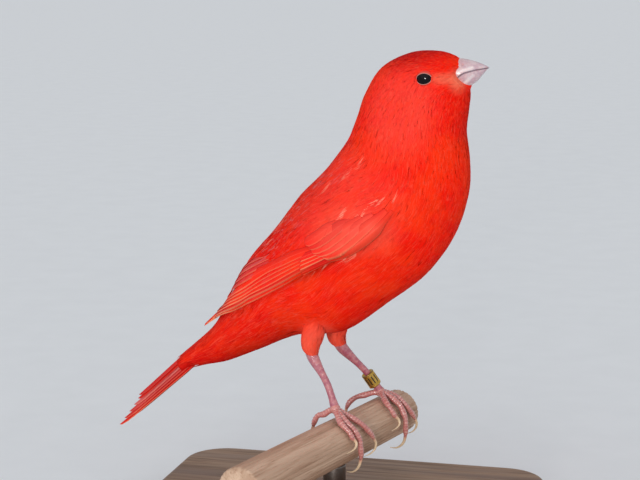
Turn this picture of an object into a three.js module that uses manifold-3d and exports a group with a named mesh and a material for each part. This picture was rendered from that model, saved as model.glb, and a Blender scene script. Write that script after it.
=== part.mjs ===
// A life-size red canary on a cut length of grooved wooden perch, held over a flat base by a short rod.
// Millimetres, +Z up. The bird faces +X and its left side is +Y. The origin is the centre of the base's underside.

import * as THREE from "three";
import { mergeVertices } from "three/addons/utils/BufferGeometryUtils.js";
import Module from "manifold-3d";

const wasm = await Module();
wasm.setup();

// Space kept between two solids that touch
const GAP = 0.3;

// Stand and perch
const BASE_LENGTH = 104;
const BASE_WIDTH = 88;
const BASE_THICKNESS = 8;
const BASE_CORNER = 12;
const BASE_CHAMFER = 1.2;
const PERCH_AXIS_HEIGHT = 24.5;
const PERCH_RADIUS = 6.1;
const PERCH_FROM = -60.9;
const PERCH_TO = 25;
const PERCH_TURN = 15.4;
const PERCH_GROOVES = 30;
const GROOVE_DEPTH = 0.3;
const PERCH_END_CHAMFER = 0.8;
const ROD_RADIUS = 3;
const ROD_ALONG_PERCH = -13.3;

// The perch's axis midway between the feet, in the bird's own frame
const GRIP = new THREE.Vector3(-4.35, 0, -2.53);

// Sections of the body from the tail's root to the bill's root, seen from the side. Each has its back and
// belly points, as x and z in the bird's frame, and its half width.
const BODY = [
  { at: "tail root", back: [-53.2, 16.9], belly: [-50.6, 12.6], half: 3.7 },
  { at: "vent", back: [-45.2, 24.1], belly: [-40.9, 15.2], half: 6.0 },
  { at: "rump", back: [-37.9, 32.4], belly: [-31.6, 19.1], half: 8.3 },
  { at: "loin", back: [-33.4, 41.7], belly: [-20.5, 23.8], half: 10.3 },
  { at: "belly", back: [-26.4, 50.9], belly: [-8.0, 25.4], half: 12.0 },
  { at: "low breast", back: [-20.3, 60.6], belly: [4.5, 34.2], half: 13.2 },
  { at: "breast", back: [-13.4, 67.6], belly: [13.9, 41.7], half: 13.8 },
  { at: "shoulder", back: [-9.0, 73.2], belly: [21.2, 52.1], half: 13.9 },
  { at: "collar", back: [-6.7, 76.8], belly: [24.8, 63.5], half: 13.0 },
  { at: "neck", back: [-5.6, 80.0], belly: [24.9, 72.5], half: 11.8 },
  { at: "nape", back: [-4.4, 83.6], belly: [24.0, 79.5], half: 10.7 },
  { at: "cheek", back: [-2.6, 89.0], belly: [24.5, 84.8], half: 9.8 },
  { at: "hind crown", back: [1.8, 95.9], belly: [24.8, 87.6], half: 8.9 },
  { at: "crown", back: [9.5, 99.8], belly: [24.9, 89.0], half: 7.7 },
  { at: "forehead", back: [17.0, 100.2], belly: [25.0, 90.2], half: 6.0 },
  { at: "bill root", back: [21.9, 98.7], belly: [25.3, 91.2], half: 3.9 },
];
const BODY_SIDES = 32;
const BODY_STEP = 0.5;
const HEAD_STEP = 1 / 3;
const HEAD_FROM = 10;

// Where the body is parted, as places along the sections
const CUTS = { rump: 1.75, belly: 4.55, breast: 8.3, neck: 10.45 };

// Bill
const BILL = [
  { top: [20.6, 98.4], bottom: [24.0, 91.4], half: 3.7 },
  { top: [23.0, 98.35], bottom: [25.4, 91.5], half: 3.5 },
  { top: [25.4, 97.9], bottom: [26.8, 93.0], half: 2.65 },
  { top: [27.8, 97.2], bottom: [28.3, 94.6], half: 1.55 },
  { top: [29.2, 96.55], bottom: [29.3, 95.75], half: 0.65 },
  { top: [29.7, 96.25], bottom: [29.7, 96.05], half: 0.16 },
];
const MOUTH = [
  [31.0, 97.05],
  [26.2, 95.55],
  [23.9, 94.9],
  [22.4, 93.9],
  [20.2, 90.6],
];
const NOSTRIL = { x: 23.4, z: 97.0, out: 3.1, depth: 0.8, radius: 0.42 };

// Eye
const EYE = { x: 14.2, z: 93.8, radius: 2.3, sunk: 1.55, lidRadius: 0.5, lidHeight: 0.84 };

// Wing, laid on the body's side. Points are x and z of the side view. Feathers are numbered from the back
// down to the wing's lower edge, where the last one, the outermost, is a little shorter.
const WING = {
  roots: [
    [-15.0, 61.5],
    [-10.5, 57.0],
    [-1.5, 50.9],
  ],
  tips: [
    [-28.6, 51.2],
    [-39.0, 36.8],
    [-47.2, 25.8],
  ],
  outermostTip: [-44.0, 28.0],
  feathers: 11,
  halfWide: { first: 2.5, last: 1.7 },
  coverts: [
    { name: "greater", count: 7, from: 0.1, to: 0.78, setBack: 0.5, length: 10.5, half: 2.0, rise: 3.0 },
    { name: "primary", count: 3, from: 0.84, to: 1, setBack: 0.5, length: 11.5, half: 1.5, rise: 2.4 },
    { name: "median", count: 5, from: 0.14, to: 0.74, setBack: 4.6, length: 8.6, half: 2.1, rise: 3.4 },
  ],
  arm: { from: [8.8, 61.2], to: [-17.0, 52.2], half: 7.2, depth: 2.3, roundFront: 0.42 },
};
const VANE_THICKNESS = 0.5;
const FLIGHT_TILT = 0.66;
const COVERT_TILT = 0.3;

// Tail. Feathers run down from the root in pairs stacked one under another, the middle pair on top and shortest.
const TAIL = {
  root: [-51.4, 15.6],
  tip: [-71.3, -4.0],
  pairs: 6,
  fork: 6.2,
  rise: { root: 0.1, tip: 1.4 },
  spacing: { root: 0.86, tip: 0.62 },
  half: 1.9,
  spread: 0.5,
  tipThickness: 0.36,
};
const TAIL_COVERTS = [
  { name: "upper", side: 1, count: 5, length: 9.5, half: 1.9, rise: 3.5, fall: 3.15, across: 3.0 },
  { name: "under", side: -1, count: 5, length: 10.5, half: 2.0, rise: 3.1, fall: 2.2, across: 3.2 },
];

const DOME_HALF = 6;

// Legs. Thigh and shank points are x, y and z in the bird's frame. Grip points give the distance along the
// perch, the angle round it from the top towards the bird's front in degrees, and the distance from its axis.
const LEGS = [
  {
    side: "right",
    thigh: [
      [-14.0, -6.6, 30.5],
      [-15.0, -7.1, 26.0],
      [-15.6, -7.7, 22.6],
      [-15.2, -8.0, 20.4],
    ],
    ankle: [-14.8, -8.1, 19.1],
    mid: [-10.4, -10.7, 12.9],
    joint: [-12.6, -1, 9.2],
    toes: {
      middle: [
        [-13.5, 18, 7.9],
        [-13.9, 36, 7.5],
        [-13.3, 54, 7.45],
        [-12.6, 72, 7.4],
        [-12.4, 90, 7.4],
        [-12.1, 106, 7.8],
        [-12.0, 118, 8.1],
      ],
      inner: [
        [-10.6, 16, 7.7],
        [-9.4, 34, 7.4],
        [-8.1, 53, 7.3],
        [-6.3, 72, 7.3],
        [-4.9, 88, 7.3],
      ],
      outer: [
        [-15.2, 18, 7.7],
        [-16.1, 36, 7.4],
        [-15.8, 54, 7.3],
        [-15.2, 70, 7.3],
      ],
      hind: [
        [-12.9, -12, 8.7],
        [-13.1, -24, 8.3],
        [-13.3, -36, 8.5],
        [-13.2, -48, 8.2],
        [-13.0, -60, 7.6],
      ],
    },
    claws: {
      middle: [
        [-12.0, 128, 8.6],
        [-12.0, 138, 8.9],
        [-12.0, 148, 8.8],
        [-12.1, 158, 8.2],
      ],
      inner: [
        [-4.3, 98, 7.7],
        [-4.4, 110, 7.9],
        [-5.2, 122, 7.6],
        [-6.4, 131, 7.0],
      ],
      outer: [
        [-15.0, 79, 7.6],
        [-16.0, 86, 7.7],
        [-17.7, 90, 7.4],
        [-19.4, 92, 6.9],
      ],
      hind: [
        [-12.9, -73, 7.5],
        [-12.8, -88, 7.7],
        [-12.8, -104, 7.5],
        [-12.8, -120, 6.9],
      ],
    },
  },
  {
    side: "left",
    thigh: [
      [-11.0, 6.6, 29.5],
      [-12.0, 7.1, 25.2],
      [-12.2, 7.6, 21.8],
      [-11.2, 8.0, 19.4],
    ],
    ankle: [-10.4, 8.1, 18.1],
    mid: [-4.5, 10.6, 11.4],
    joint: [12.8, 0, 8.2],
    toes: {
      middle: [
        [13.3, 16, 7.7],
        [13.6, 34, 7.45],
        [13.7, 54, 7.4],
        [13.9, 74, 7.4],
        [14.0, 92, 7.4],
        [14.3, 108, 7.7],
        [14.6, 121, 8.1],
      ],
      inner: [
        [10.8, 15, 7.6],
        [9.2, 33, 7.4],
        [8.6, 51, 7.3],
        [9.2, 68, 7.3],
      ],
      outer: [
        [15.1, 15, 7.6],
        [16.0, 34, 7.4],
        [16.7, 56, 7.3],
        [18.3, 76, 7.3],
        [19.8, 92, 7.3],
      ],
      hind: [
        [11.6, -14, 8.1],
        [10.2, -27, 8.3],
        [9.0, -40, 8.7],
        [8.2, -53, 9.0],
        [7.7, -66, 8.6],
      ],
    },
    claws: {
      middle: [
        [14.8, 131, 8.6],
        [14.8, 142, 8.9],
        [14.7, 153, 8.8],
        [14.5, 164, 8.2],
      ],
      inner: [
        [9.7, 76, 7.6],
        [9.5, 85, 7.7],
        [8.1, 91, 7.4],
        [6.2, 94, 6.9],
      ],
      outer: [
        [20.5, 102, 7.7],
        [20.8, 114, 7.8],
        [20.7, 126, 7.5],
        [20.3, 136, 6.9],
      ],
      hind: [
        [7.5, -80, 8.1],
        [7.4, -94, 7.9],
        [7.4, -108, 7.5],
        [7.5, -122, 6.9],
      ],
    },
  },
];
const THIGH_RADII = [4.4, 3.5, 2.9, 2.3];
const SHANK_RADIUS = 1.02;
const SHANK_TOP_RADIUS = 1.75;
const SHANK_FOOT_RADIUS = 1.35;
const SHANK_SCUTES = 8;
const SCUTE_RELIEF = 0.1;
const FOOT_RADIUS = 1.4;
const TOE_RADIUS = { root: 1.05, end: 0.78 };
const KNUCKLE_RELIEF = 0.1;
const TOE_SIDES = 6;
const CLAW_RADIUS = 0.5;
const CLAW_TIP_RADIUS = 0.12;
const CLAW_SUNK = 0.3;
const RING = { from: 2.4, height: 4.2, inner: 1.45, outer: 1.84 };

const Y = new THREE.Vector3(0, 1, 0);
const Z = new THREE.Vector3(0, 0, 1);
const radians = THREE.MathUtils.degToRad;
const lerp = THREE.MathUtils.lerp;
const clamp = THREE.MathUtils.clamp;

const COLOURS = {
  plumage: { color: 0xe01408, roughness: 0.75, metalness: 0 },
  flight: { color: 0xe8402a, roughness: 0.6, metalness: 0 },
  bill: { color: 0xe8cfc6, roughness: 0.35, metalness: 0 },
  eye: { color: 0x0a0608, roughness: 0.05, metalness: 0 },
  leg: { color: 0xd98a80, roughness: 0.55, metalness: 0 },
  claw: { color: 0xd8c79c, roughness: 0.4, metalness: 0 },
  ring: { color: 0xc89a2c, roughness: 0.25, metalness: 1 },
  perch: { color: 0xbb9470, roughness: 0.8, metalness: 0 },
  stand: { color: 0x9a7650, roughness: 0.6, metalness: 0 },
};

// Solids and meshes

function solidFrom(geometry) {
  const bare = geometry.clone();
  bare.deleteAttribute("normal");
  bare.deleteAttribute("uv");
  const merged = mergeVertices(bare, 1e-4);
  return new wasm.Manifold(
    new wasm.Mesh({
      numProp: 3,
      vertProperties: new Float32Array(merged.attributes.position.array),
      triVerts: new Uint32Array(merged.index.array),
    }),
  );
}

function geometryFrom(solid) {
  const mesh = solid.getMesh();
  const positions = new Float32Array(mesh.numVert * 3);
  for (let i = 0; i < mesh.numVert; i++) {
    positions.set(mesh.vertProperties.subarray(i * mesh.numProp, i * mesh.numProp + 3), i * 3);
  }
  const geometry = new THREE.BufferGeometry();
  geometry.setAttribute("position", new THREE.BufferAttribute(positions, 3));
  geometry.setIndex(new THREE.BufferAttribute(new Uint32Array(mesh.triVerts), 1));
  return geometry;
}

function join(solids) {
  return wasm.Manifold.union(solids);
}

// The largest closed surface of a solid, with any sealed hollow filled
function largest(solid) {
  return solid.decompose().reduce((a, b) => (b.volume() > a.volume() ? b : a));
}

function surface(points, triangles) {
  const geometry = new THREE.BufferGeometry();
  geometry.setAttribute(
    "position",
    new THREE.BufferAttribute(new Float32Array(points.flatMap((p) => [p.x, p.y, p.z])), 3),
  );
  geometry.setIndex(triangles);
  const solid = solidFrom(geometry);
  if (solid.volume() > 0) return solid;
  geometry.setIndex(triangles.flatMap((_, i) => (i % 3 ? [] : [triangles[i], triangles[i + 2], triangles[i + 1]])));
  return solidFrom(geometry);
}

// A closed solid through rings of equal count, with a fan on each end
function loft(rings) {
  const count = rings[0].length;
  const points = rings.flat();
  const triangles = [];
  for (let i = 0; i < rings.length - 1; i++) {
    for (let k = 0; k < count; k++) {
      const a = i * count + k;
      const b = i * count + ((k + 1) % count);
      triangles.push(a, b, b + count, a, b + count, a + count);
    }
  }
  for (const [ring, start] of [
    [rings[0], 0],
    [rings.at(-1), (rings.length - 1) * count],
  ]) {
    const centre = ring.reduce((sum, p) => sum.add(p), new THREE.Vector3()).divideScalar(count);
    const hub = points.push(centre) - 1;
    for (let k = 0; k < count; k++) {
      const next = start + ((k + 1) % count);
      if (start) triangles.push(hub, start + k, next);
      else triangles.push(hub, next, start + k);
    }
  }
  return surface(points, triangles);
}

// A closed sheet: outer and inner faces are split into triangles alike, and a rim joins them
function sheet(outer, inner) {
  const rows = outer.length;
  const columns = outer[0].length;
  const points = [...outer.flat(), ...inner.flat()];
  const below = rows * columns;
  const triangles = [];
  const at = (i, j) => i * columns + j;
  for (let i = 0; i < rows - 1; i++) {
    for (let j = 0; j < columns - 1; j++) {
      for (const [a, b, c] of [
        [at(i, j), at(i + 1, j), at(i + 1, j + 1)],
        [at(i, j), at(i + 1, j + 1), at(i, j + 1)],
      ]) {
        triangles.push(a, b, c, a + below, c + below, b + below);
      }
    }
  }
  const rim = [];
  for (let j = 0; j < columns - 1; j++) rim.push(at(0, j));
  for (let i = 0; i < rows - 1; i++) rim.push(at(i, columns - 1));
  for (let j = columns - 1; j > 0; j--) rim.push(at(rows - 1, j));
  for (let i = rows - 1; i > 0; i--) rim.push(at(i, 0));
  rim.forEach((a, k) => {
    const b = rim[(k + 1) % rim.length];
    triangles.push(a, b, b + below, a, b + below, a + below);
  });
  return surface(points, triangles);
}

// A round tube along points, its radius a function of the share of the length
function tube(points, radiusAt, { sides = TOE_SIDES, steps = 12, curved = true } = {}) {
  const path = curved ? new THREE.CatmullRomCurve3(points, false, "centripetal") : new THREE.LineCurve3(...points);
  const { normals, binormals } = path.computeFrenetFrames(steps, false);
  const rings = [];
  for (let i = 0; i <= steps; i++) {
    const centre = path.getPointAt(i / steps);
    const radius = radiusAt(i / steps);
    rings.push(
      Array.from({ length: sides }, (_, k) => {
        const turn = (2 * Math.PI * k) / sides;
        return centre
          .clone()
          .addScaledVector(normals[i], radius * Math.cos(turn))
          .addScaledVector(binormals[i], radius * Math.sin(turn));
      }),
    );
  }
  return loft(rings);
}

// A value read smoothly between listed ones
function smooth(values, place) {
  const last = values.length - 1;
  const i = clamp(Math.floor(place), 0, last - 1);
  const t = place - i;
  const at = (k) => values[clamp(k, 0, last)];
  const [a, b, c, d] = [at(i - 1), at(i), at(i + 1), at(i + 2)];
  return b + 0.5 * t * (c - a + t * (2 * a - 5 * b + 4 * c - d + t * (3 * (b - c) + d - a)));
}

// Body

const channel = (key, axis) => BODY.map((s) => (axis === undefined ? s[key] : s[key][axis]));
const BACK_X = channel("back", 0);
const BACK_Z = channel("back", 1);
const BELLY_X = channel("belly", 0);
const BELLY_Z = channel("belly", 1);
const HALF = channel("half");

// The section at a place: its middle, the unit vector to its back, the one towards the head, and its half sizes
function section(place) {
  const back = new THREE.Vector3(smooth(BACK_X, place), 0, smooth(BACK_Z, place));
  const belly = new THREE.Vector3(smooth(BELLY_X, place), 0, smooth(BELLY_Z, place));
  const up = back.clone().sub(belly);
  const deep = up.length() / 2;
  up.normalize();
  return {
    middle: back.add(belly).divideScalar(2),
    up,
    ahead: new THREE.Vector3(up.z, 0, -up.x),
    deep,
    wide: smooth(HALF, place),
  };
}

// A point of the body's surface, at an angle from the back towards the given side, lifted off it
function bodyPoint(place, angle, side = 1, lift = 0) {
  const s = section(place);
  return s.middle
    .clone()
    .addScaledVector(s.up, (s.deep + lift) * Math.cos(angle))
    .addScaledVector(Y, side * (s.wide + lift) * Math.sin(angle));
}

// The place along the body whose section holds a point of the side view
function placeOf([x, z]) {
  const point = new THREE.Vector3(x, 0, z);
  let low = 0;
  let high = BODY.length - 1;
  for (let i = 0; i < 40; i++) {
    const place = (low + high) / 2;
    const s = section(place);
    if (point.clone().sub(s.middle).dot(s.ahead) > 0) low = place;
    else high = place;
  }
  return (low + high) / 2;
}

function bodySolid(lift = 0) {
  const rings = [];
  const last = BODY.length - 1;
  for (let place = 0; place < last + 1e-6; place += place < HEAD_FROM - 1e-6 ? BODY_STEP : HEAD_STEP) {
    rings.push(
      Array.from({ length: BODY_SIDES }, (_, k) => bodyPoint(place, (2 * Math.PI * k) / BODY_SIDES, 1, lift)),
    );
  }
  return loft(rings);
}

// What lies ahead of a cut, or behind it, half the gap away
function ahead(solid, place) {
  const { middle, ahead: n } = section(place);
  return solid.trimByPlane(n.toArray(), n.dot(middle) + GAP / 2);
}

function behind(solid, place) {
  const { middle, ahead: n } = section(place);
  return solid.trimByPlane(n.clone().negate().toArray(), -n.dot(middle) + GAP / 2);
}

// Feathers on the body's surface

// Where a straight line of the side view crosses the section at a place, as an angle from the back
function angleOnLine(place, from, to, lift) {
  const s = section(place);
  const way = new THREE.Vector3(to[0] - from[0], 0, to[1] - from[1]);
  const start = new THREE.Vector3(from[0], 0, from[1]).sub(s.middle);
  const cross = (a, b) => a.x * b.z - a.z * b.x;
  const height = cross(start, way) / cross(s.up, way);
  return Math.acos(clamp(height / (s.deep + lift), -0.99, 0.99));
}

// A vane laid on the body along a line of the side view. Half width, lift, tilt and thickness are functions of
// the share of its length, and lift and thickness also of the place across it, from -1 at the edge that
// faces the back to 1 at the one that faces the belly.
function vane({ from, to, side, half, lift, tilt, thickness, rows, columns = 2 }) {
  const placeFrom = placeOf(from);
  const placeTo = placeOf(to);
  const outer = [];
  const inner = [];
  for (let i = 0; i <= rows; i++) {
    const t = i / rows;
    const place = lerp(placeFrom, placeTo, t);
    const s = section(place);
    const angle = angleOnLine(place, from, to, lift(t, 0));
    const round = Math.hypot(s.deep * Math.sin(angle), s.wide * Math.cos(angle)) + lift(t, 0);
    const rowOuter = [];
    const rowInner = [];
    for (let j = 0; j < columns; j++) {
      const across = (2 * j) / (columns - 1) - 1;
      const turned = angle + (across * half(t)) / round;
      const height = lift(t, across) + tilt(t) * across * half(t);
      rowOuter.push(bodyPoint(place, turned, side, height));
      rowInner.push(bodyPoint(place, turned, side, height - thickness(t, across)));
    }
    outer.push(rowOuter);
    inner.push(rowInner);
  }
  return sheet(outer, inner);
}

// A feather's half width along its length: narrow at the root, full along the middle, round at the tip
function featherWidth(t, rootShare, tipShare = 0.3) {
  const grow = Math.min(1, rootShare + (1 - rootShare) * (t / 0.3));
  const close = t < 0.7 ? 1 : lerp(tipShare, 1, Math.sqrt(Math.max(0, 1 - ((t - 0.7) / 0.3) ** 2)));
  return grow * close;
}

const mix = (a, b, t) => [lerp(a[0], b[0], t), lerp(a[1], b[1], t)];

// A point at a share of the way along a bent line
function alongLine(points, share) {
  const place = share * (points.length - 1);
  const i = Math.min(Math.floor(place), points.length - 2);
  return mix(points[i], points[i + 1], place - i);
}

// The feathers of the wing's hand and arm, from the one next to the back to the outermost
function flightFeathers(side) {
  const last = WING.feathers - 1;
  return Array.from({ length: WING.feathers }, (_, i) => {
    const share = i / last;
    const half = lerp(WING.halfWide.first, WING.halfWide.last, share);
    return vane({
      from: alongLine(WING.roots, share),
      to: i < last ? alongLine(WING.tips, i / (last - 1)) : WING.outermostTip,
      side,
      half: (t) => half * featherWidth(t, 0.5),
      lift: (t) => 1.25 + 0.95 * Math.min(1, t / 0.45) - 0.35 * Math.max(0, t - 0.6),
      tilt: (t) => FLIGHT_TILT * Math.min(1, 0.4 + t),
      thickness: () => VANE_THICKNESS,
      rows: 4,
    });
  });
}

// A row of coverts: each starts in the arm, between two shares of the line of roots, and lies over the next row
function covertRow(row, side) {
  return Array.from({ length: row.count }, (_, i) => {
    const share = lerp(row.from, row.to, i / (row.count - 1));
    const root = alongLine(WING.roots, share);
    const tip = alongLine(WING.tips, share);
    const way = new THREE.Vector2(tip[0] - root[0], tip[1] - root[1]).normalize();
    const from = [root[0] - way.x * row.setBack, root[1] - way.y * row.setBack];
    return vane({
      from,
      to: [from[0] + way.x * row.length, from[1] + way.y * row.length],
      side,
      half: (t) => row.half * featherWidth(t, 0.7, 0.4),
      lift: (t) => row.rise - 1.2 * (1 - t) ** 2,
      tilt: () => COVERT_TILT,
      thickness: () => VANE_THICKNESS,
      rows: 3,
    });
  });
}

// The folded arm under the coverts, thick in the middle and thin at its rim
function wingArm(side) {
  const { from, to, half, depth, roundFront } = WING.arm;
  const front = (t) => Math.sqrt(Math.max(0, 1 - (1 - Math.min(1, t / roundFront)) ** 2));
  const back = (t) => 1 - 0.3 * Math.max(0, (t - 0.6) / 0.4) ** 2;
  const swell = (t, across) => depth * Math.sqrt(Math.max(0, 1 - (2 * t - 1) ** 4)) * (1 - 0.75 * across ** 4);
  return vane({
    from,
    to,
    side,
    half: (t) => half * (0.12 + 0.88 * front(t)) * back(t),
    lift: (t, across) => 0.5 + swell(t, across),
    tilt: () => 0,
    thickness: (t, across) => 1.2 + swell(t, across),
    rows: 9,
    columns: 6,
  });
}

// A wing, kept on its own side of the bird's middle plane
function wingSolid(side) {
  const coverts = WING.coverts.flatMap((row) => covertRow(row, side));
  return join([wingArm(side), ...flightFeathers(side), ...coverts]).trimByPlane([0, side, 0], GAP / 2);
}

// Tail

const tailRoot = new THREE.Vector3(TAIL.root[0], 0, TAIL.root[1]);
const tailWay = new THREE.Vector3(TAIL.tip[0], 0, TAIL.tip[1]).sub(tailRoot);
const tailLength = tailWay.length();
tailWay.normalize();
const tailUp = new THREE.Vector3(tailWay.z, 0, -tailWay.x);

function tailPoint(along, across, up) {
  return tailRoot
    .clone()
    .addScaledVector(tailWay, along)
    .addScaledVector(Y, across)
    .addScaledVector(tailUp, up);
}

// A vane in the tail's frame. Across is a function of the distance along, and up of that and the place across.
function tailVane({ start, end, across, up, half, thickness, rows }) {
  const outer = [];
  const inner = [];
  for (let i = 0; i <= rows; i++) {
    const t = i / rows;
    const along = lerp(start, end, t);
    const edges = [across(along) - half(t), across(along) + half(t)];
    outer.push(edges.map((edge) => tailPoint(along, edge, up(along, edge) + thickness(t) / 2)));
    inner.push(edges.map((edge) => tailPoint(along, edge, up(along, edge) - thickness(t) / 2)));
  }
  return sheet(outer, inner);
}

function tailFeather(pair, side) {
  const share = pair / (TAIL.pairs - 1);
  const rank = (TAIL.pairs - 1) / 2 - pair;
  const reach = (along) => along / tailLength;
  const between = (size, along) => lerp(size.root, size.tip, reach(along));
  return tailVane({
    start: -3,
    end: tailLength - TAIL.fork * (1 - share) ** 1.3,
    across: (along) => side * (TAIL.half + GAP / 2 + TAIL.spread * pair * reach(along)),
    up: (along) => between(TAIL.rise, along) + rank * between(TAIL.spacing, along),
    half: (t) => TAIL.half * featherWidth(t, 0.75, 0.15),
    thickness: (t) => lerp(VANE_THICKNESS, TAIL.tipThickness, t ** 2),
    rows: 4,
  });
}

function tailSolid() {
  const feathers = Array.from({ length: TAIL.pairs }, (_, pair) => [tailFeather(pair, -1), tailFeather(pair, 1)]);
  const ring = (along, wide, deep) =>
    Array.from({ length: 12 }, (_, k) => {
      const turn = (2 * Math.PI * k) / 12;
      return tailPoint(along, wide * Math.cos(turn), TAIL.rise.root + deep * Math.sin(turn));
    });
  const root = loft([ring(-2.6, 3.2, 2.1), ring(1, 3.6, 2.3), ring(4, 3.0, 2.1), ring(7, 1.6, 1.6)]);
  return join([root, ...feathers.flat()]);
}

// The rump's own coverts, over and under the tail's root. They are domed on the rump and flat over the tail.
function tailCoverts({ side, count, length, half, rise, fall, across }) {
  const dome = (along, edge) => {
    const flat = clamp((along + 5) / 5, 0, 1);
    return lerp(Math.sqrt(1 - (edge / DOME_HALF) ** 2), 1, flat);
  };
  return Array.from({ length: count }, (_, i) => {
    const share = (2 * i) / (count - 1) - 1;
    const step = i % 2 ? 0.25 : 0;
    const reach = length * (1 - 0.28 * Math.abs(share)) - step;
    return tailVane({
      start: -7.5,
      end: reach,
      across: (along) => share * across * (1 - 0.012 * along),
      up: (along, edge) =>
        side * (lerp(rise, fall, Math.max(0, along) / length) * dome(along, edge) - step - 0.25 * Math.abs(share)),
      half: (t) => half * featherWidth(t, 0.8, 0.3),
      thickness: () => VANE_THICKNESS,
      rows: 5,
    });
  });
}

// Head

function eyePlace(side) {
  const place = placeOf([EYE.x, EYE.z]);
  const s = section(place);
  const height = new THREE.Vector3(EYE.x, 0, EYE.z).sub(s.middle).dot(s.up);
  const onSkin = bodyPoint(place, Math.acos(height / s.deep), side);
  const out = onSkin
    .clone()
    .sub(s.middle)
    .multiply(new THREE.Vector3(1 / s.deep ** 2, 1 / s.wide ** 2, 1 / s.deep ** 2))
    .normalize();
  return { centre: onSkin.clone().addScaledVector(out, -EYE.sunk), out, onSkin };
}

function ball(centre, radius, wide = 16, high = 8) {
  const geometry = new THREE.SphereGeometry(radius, wide, high);
  geometry.rotateX(Math.PI / 2);
  geometry.translate(centre.x, centre.y, centre.z);
  return solidFrom(geometry);
}

function eyelid(side) {
  const { centre, out } = eyePlace(side);
  const geometry = new THREE.TorusGeometry(EYE.radius * 0.93, EYE.lidRadius, 6, 20);
  geometry.scale(1, EYE.lidHeight, 1);
  geometry.applyQuaternion(new THREE.Quaternion().setFromUnitVectors(Z, out));
  const place = centre.clone().addScaledVector(out, EYE.sunk - 0.25);
  geometry.translate(place.x, place.y, place.z);
  return solidFrom(geometry);
}

function billSolid() {
  const sides = 12;
  const rings = [];
  const read = (key, axis, t) =>
    smooth(
      BILL.map((s) => (axis === undefined ? s[key] : s[key][axis])),
      t,
    );
  const last = BILL.length - 1;
  for (let step = 0; step <= last * 2; step++) {
    const t = step / 2;
    const top = new THREE.Vector3(read("top", 0, t), 0, read("top", 1, t));
    const bottom = new THREE.Vector3(read("bottom", 0, t), 0, read("bottom", 1, t));
    const half = read("half", undefined, t);
    const middle = top.clone().add(bottom).divideScalar(2);
    const up = top.clone().sub(middle);
    rings.push(
      Array.from({ length: sides }, (_, k) => {
        const turn = (2 * Math.PI * k) / sides;
        return middle
          .clone()
          .addScaledVector(up, Math.cos(turn))
          .addScaledVector(Y, half * Math.sin(turn));
      }),
    );
  }
  return loft(rings);
}

function nostril(side) {
  const geometry = new THREE.CylinderGeometry(NOSTRIL.radius, NOSTRIL.radius, NOSTRIL.depth * 2, 8);
  geometry.translate(NOSTRIL.x, side * NOSTRIL.out, NOSTRIL.z);
  return solidFrom(geometry);
}

// The thin slit of the mouth, across the whole bill
function mouthSlit() {
  const shape = new THREE.Shape();
  const low = MOUTH.map(([x, z]) => [x, z - GAP / 2]);
  const high = MOUTH.map(([x, z]) => [x, z + GAP / 2]).reverse();
  [...low, ...high].forEach(([x, z], i) => (i ? shape.lineTo(x, z) : shape.moveTo(x, z)));
  const geometry = new THREE.ExtrudeGeometry(shape, { depth: 16, bevelEnabled: false });
  geometry.rotateX(Math.PI / 2);
  geometry.translate(0, 8, 0);
  return solidFrom(geometry);
}

// Legs

const turn = radians(PERCH_TURN);
const perchWay = new THREE.Vector3(Math.sin(turn), Math.cos(turn), 0);
const perchFront = new THREE.Vector3(Math.cos(turn), -Math.sin(turn), 0);

function gripPoint(along, angle, reach) {
  const a = radians(angle);
  return GRIP.clone()
    .addScaledVector(perchWay, along)
    .addScaledVector(perchFront, reach * Math.sin(a))
    .addScaledVector(Z, reach * Math.cos(a));
}

const vector = (p) => new THREE.Vector3(...p);

// The length of leg between the feathers and the foot, with scutes stepped along it
function shankSolid({ ankle, mid, joint, thigh }) {
  const start = vector(ankle).lerp(vector(thigh.at(-2)), 0.6);
  const radiusAt = (t) => {
    const top = (SHANK_TOP_RADIUS - SHANK_RADIUS) * Math.max(0, 1 - t / 0.35);
    const foot = (SHANK_FOOT_RADIUS - SHANK_RADIUS) * Math.max(0, (t - 0.8) / 0.2);
    return SHANK_RADIUS + top + foot + SCUTE_RELIEF * (1 - ((t * SHANK_SCUTES) % 1));
  };
  return tube([start, vector(ankle), vector(mid), gripPoint(...joint)], radiusAt, {
    sides: 8,
    steps: SHANK_SCUTES * 2,
  });
}

function thighSolid({ thigh }, grow = 0) {
  const radiusAt = (t) => grow + smooth(THIGH_RADII, t * (THIGH_RADII.length - 1));
  const points = thigh.map(vector);
  const [before, last] = points.slice(-2);
  last.addScaledVector(last.clone().sub(before).normalize(), grow);
  return tube(points, radiusAt, { sides: 12, steps: 6 });
}

function footBall({ joint }, grow = 0) {
  return ball(gripPoint(...joint), FOOT_RADIUS + grow, 12, 8);
}

function toeSolid(leg, name, grow = 0) {
  const path = leg.toes[name];
  const knuckle = (t) => KNUCKLE_RELIEF * Math.cos(2 * Math.PI * t * path.length);
  return tube(
    [leg.joint, ...path].map((p) => gripPoint(...p)),
    (t) => lerp(TOE_RADIUS.root, TOE_RADIUS.end, t) + knuckle(t) + grow,
    { steps: path.length * 2 },
  );
}

function clawSolid(leg, name) {
  const end = gripPoint(...leg.toes[name].at(-1));
  const back = gripPoint(...leg.toes[name].at(-2));
  const start = end.clone().lerp(back, CLAW_SUNK);
  const points = [start, end, ...leg.claws[name].map((p) => gripPoint(...p))];
  return tube(points, (t) => lerp(CLAW_RADIUS, CLAW_TIP_RADIUS, t ** 1.3), { sides: 6, steps: 8 });
}

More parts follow.
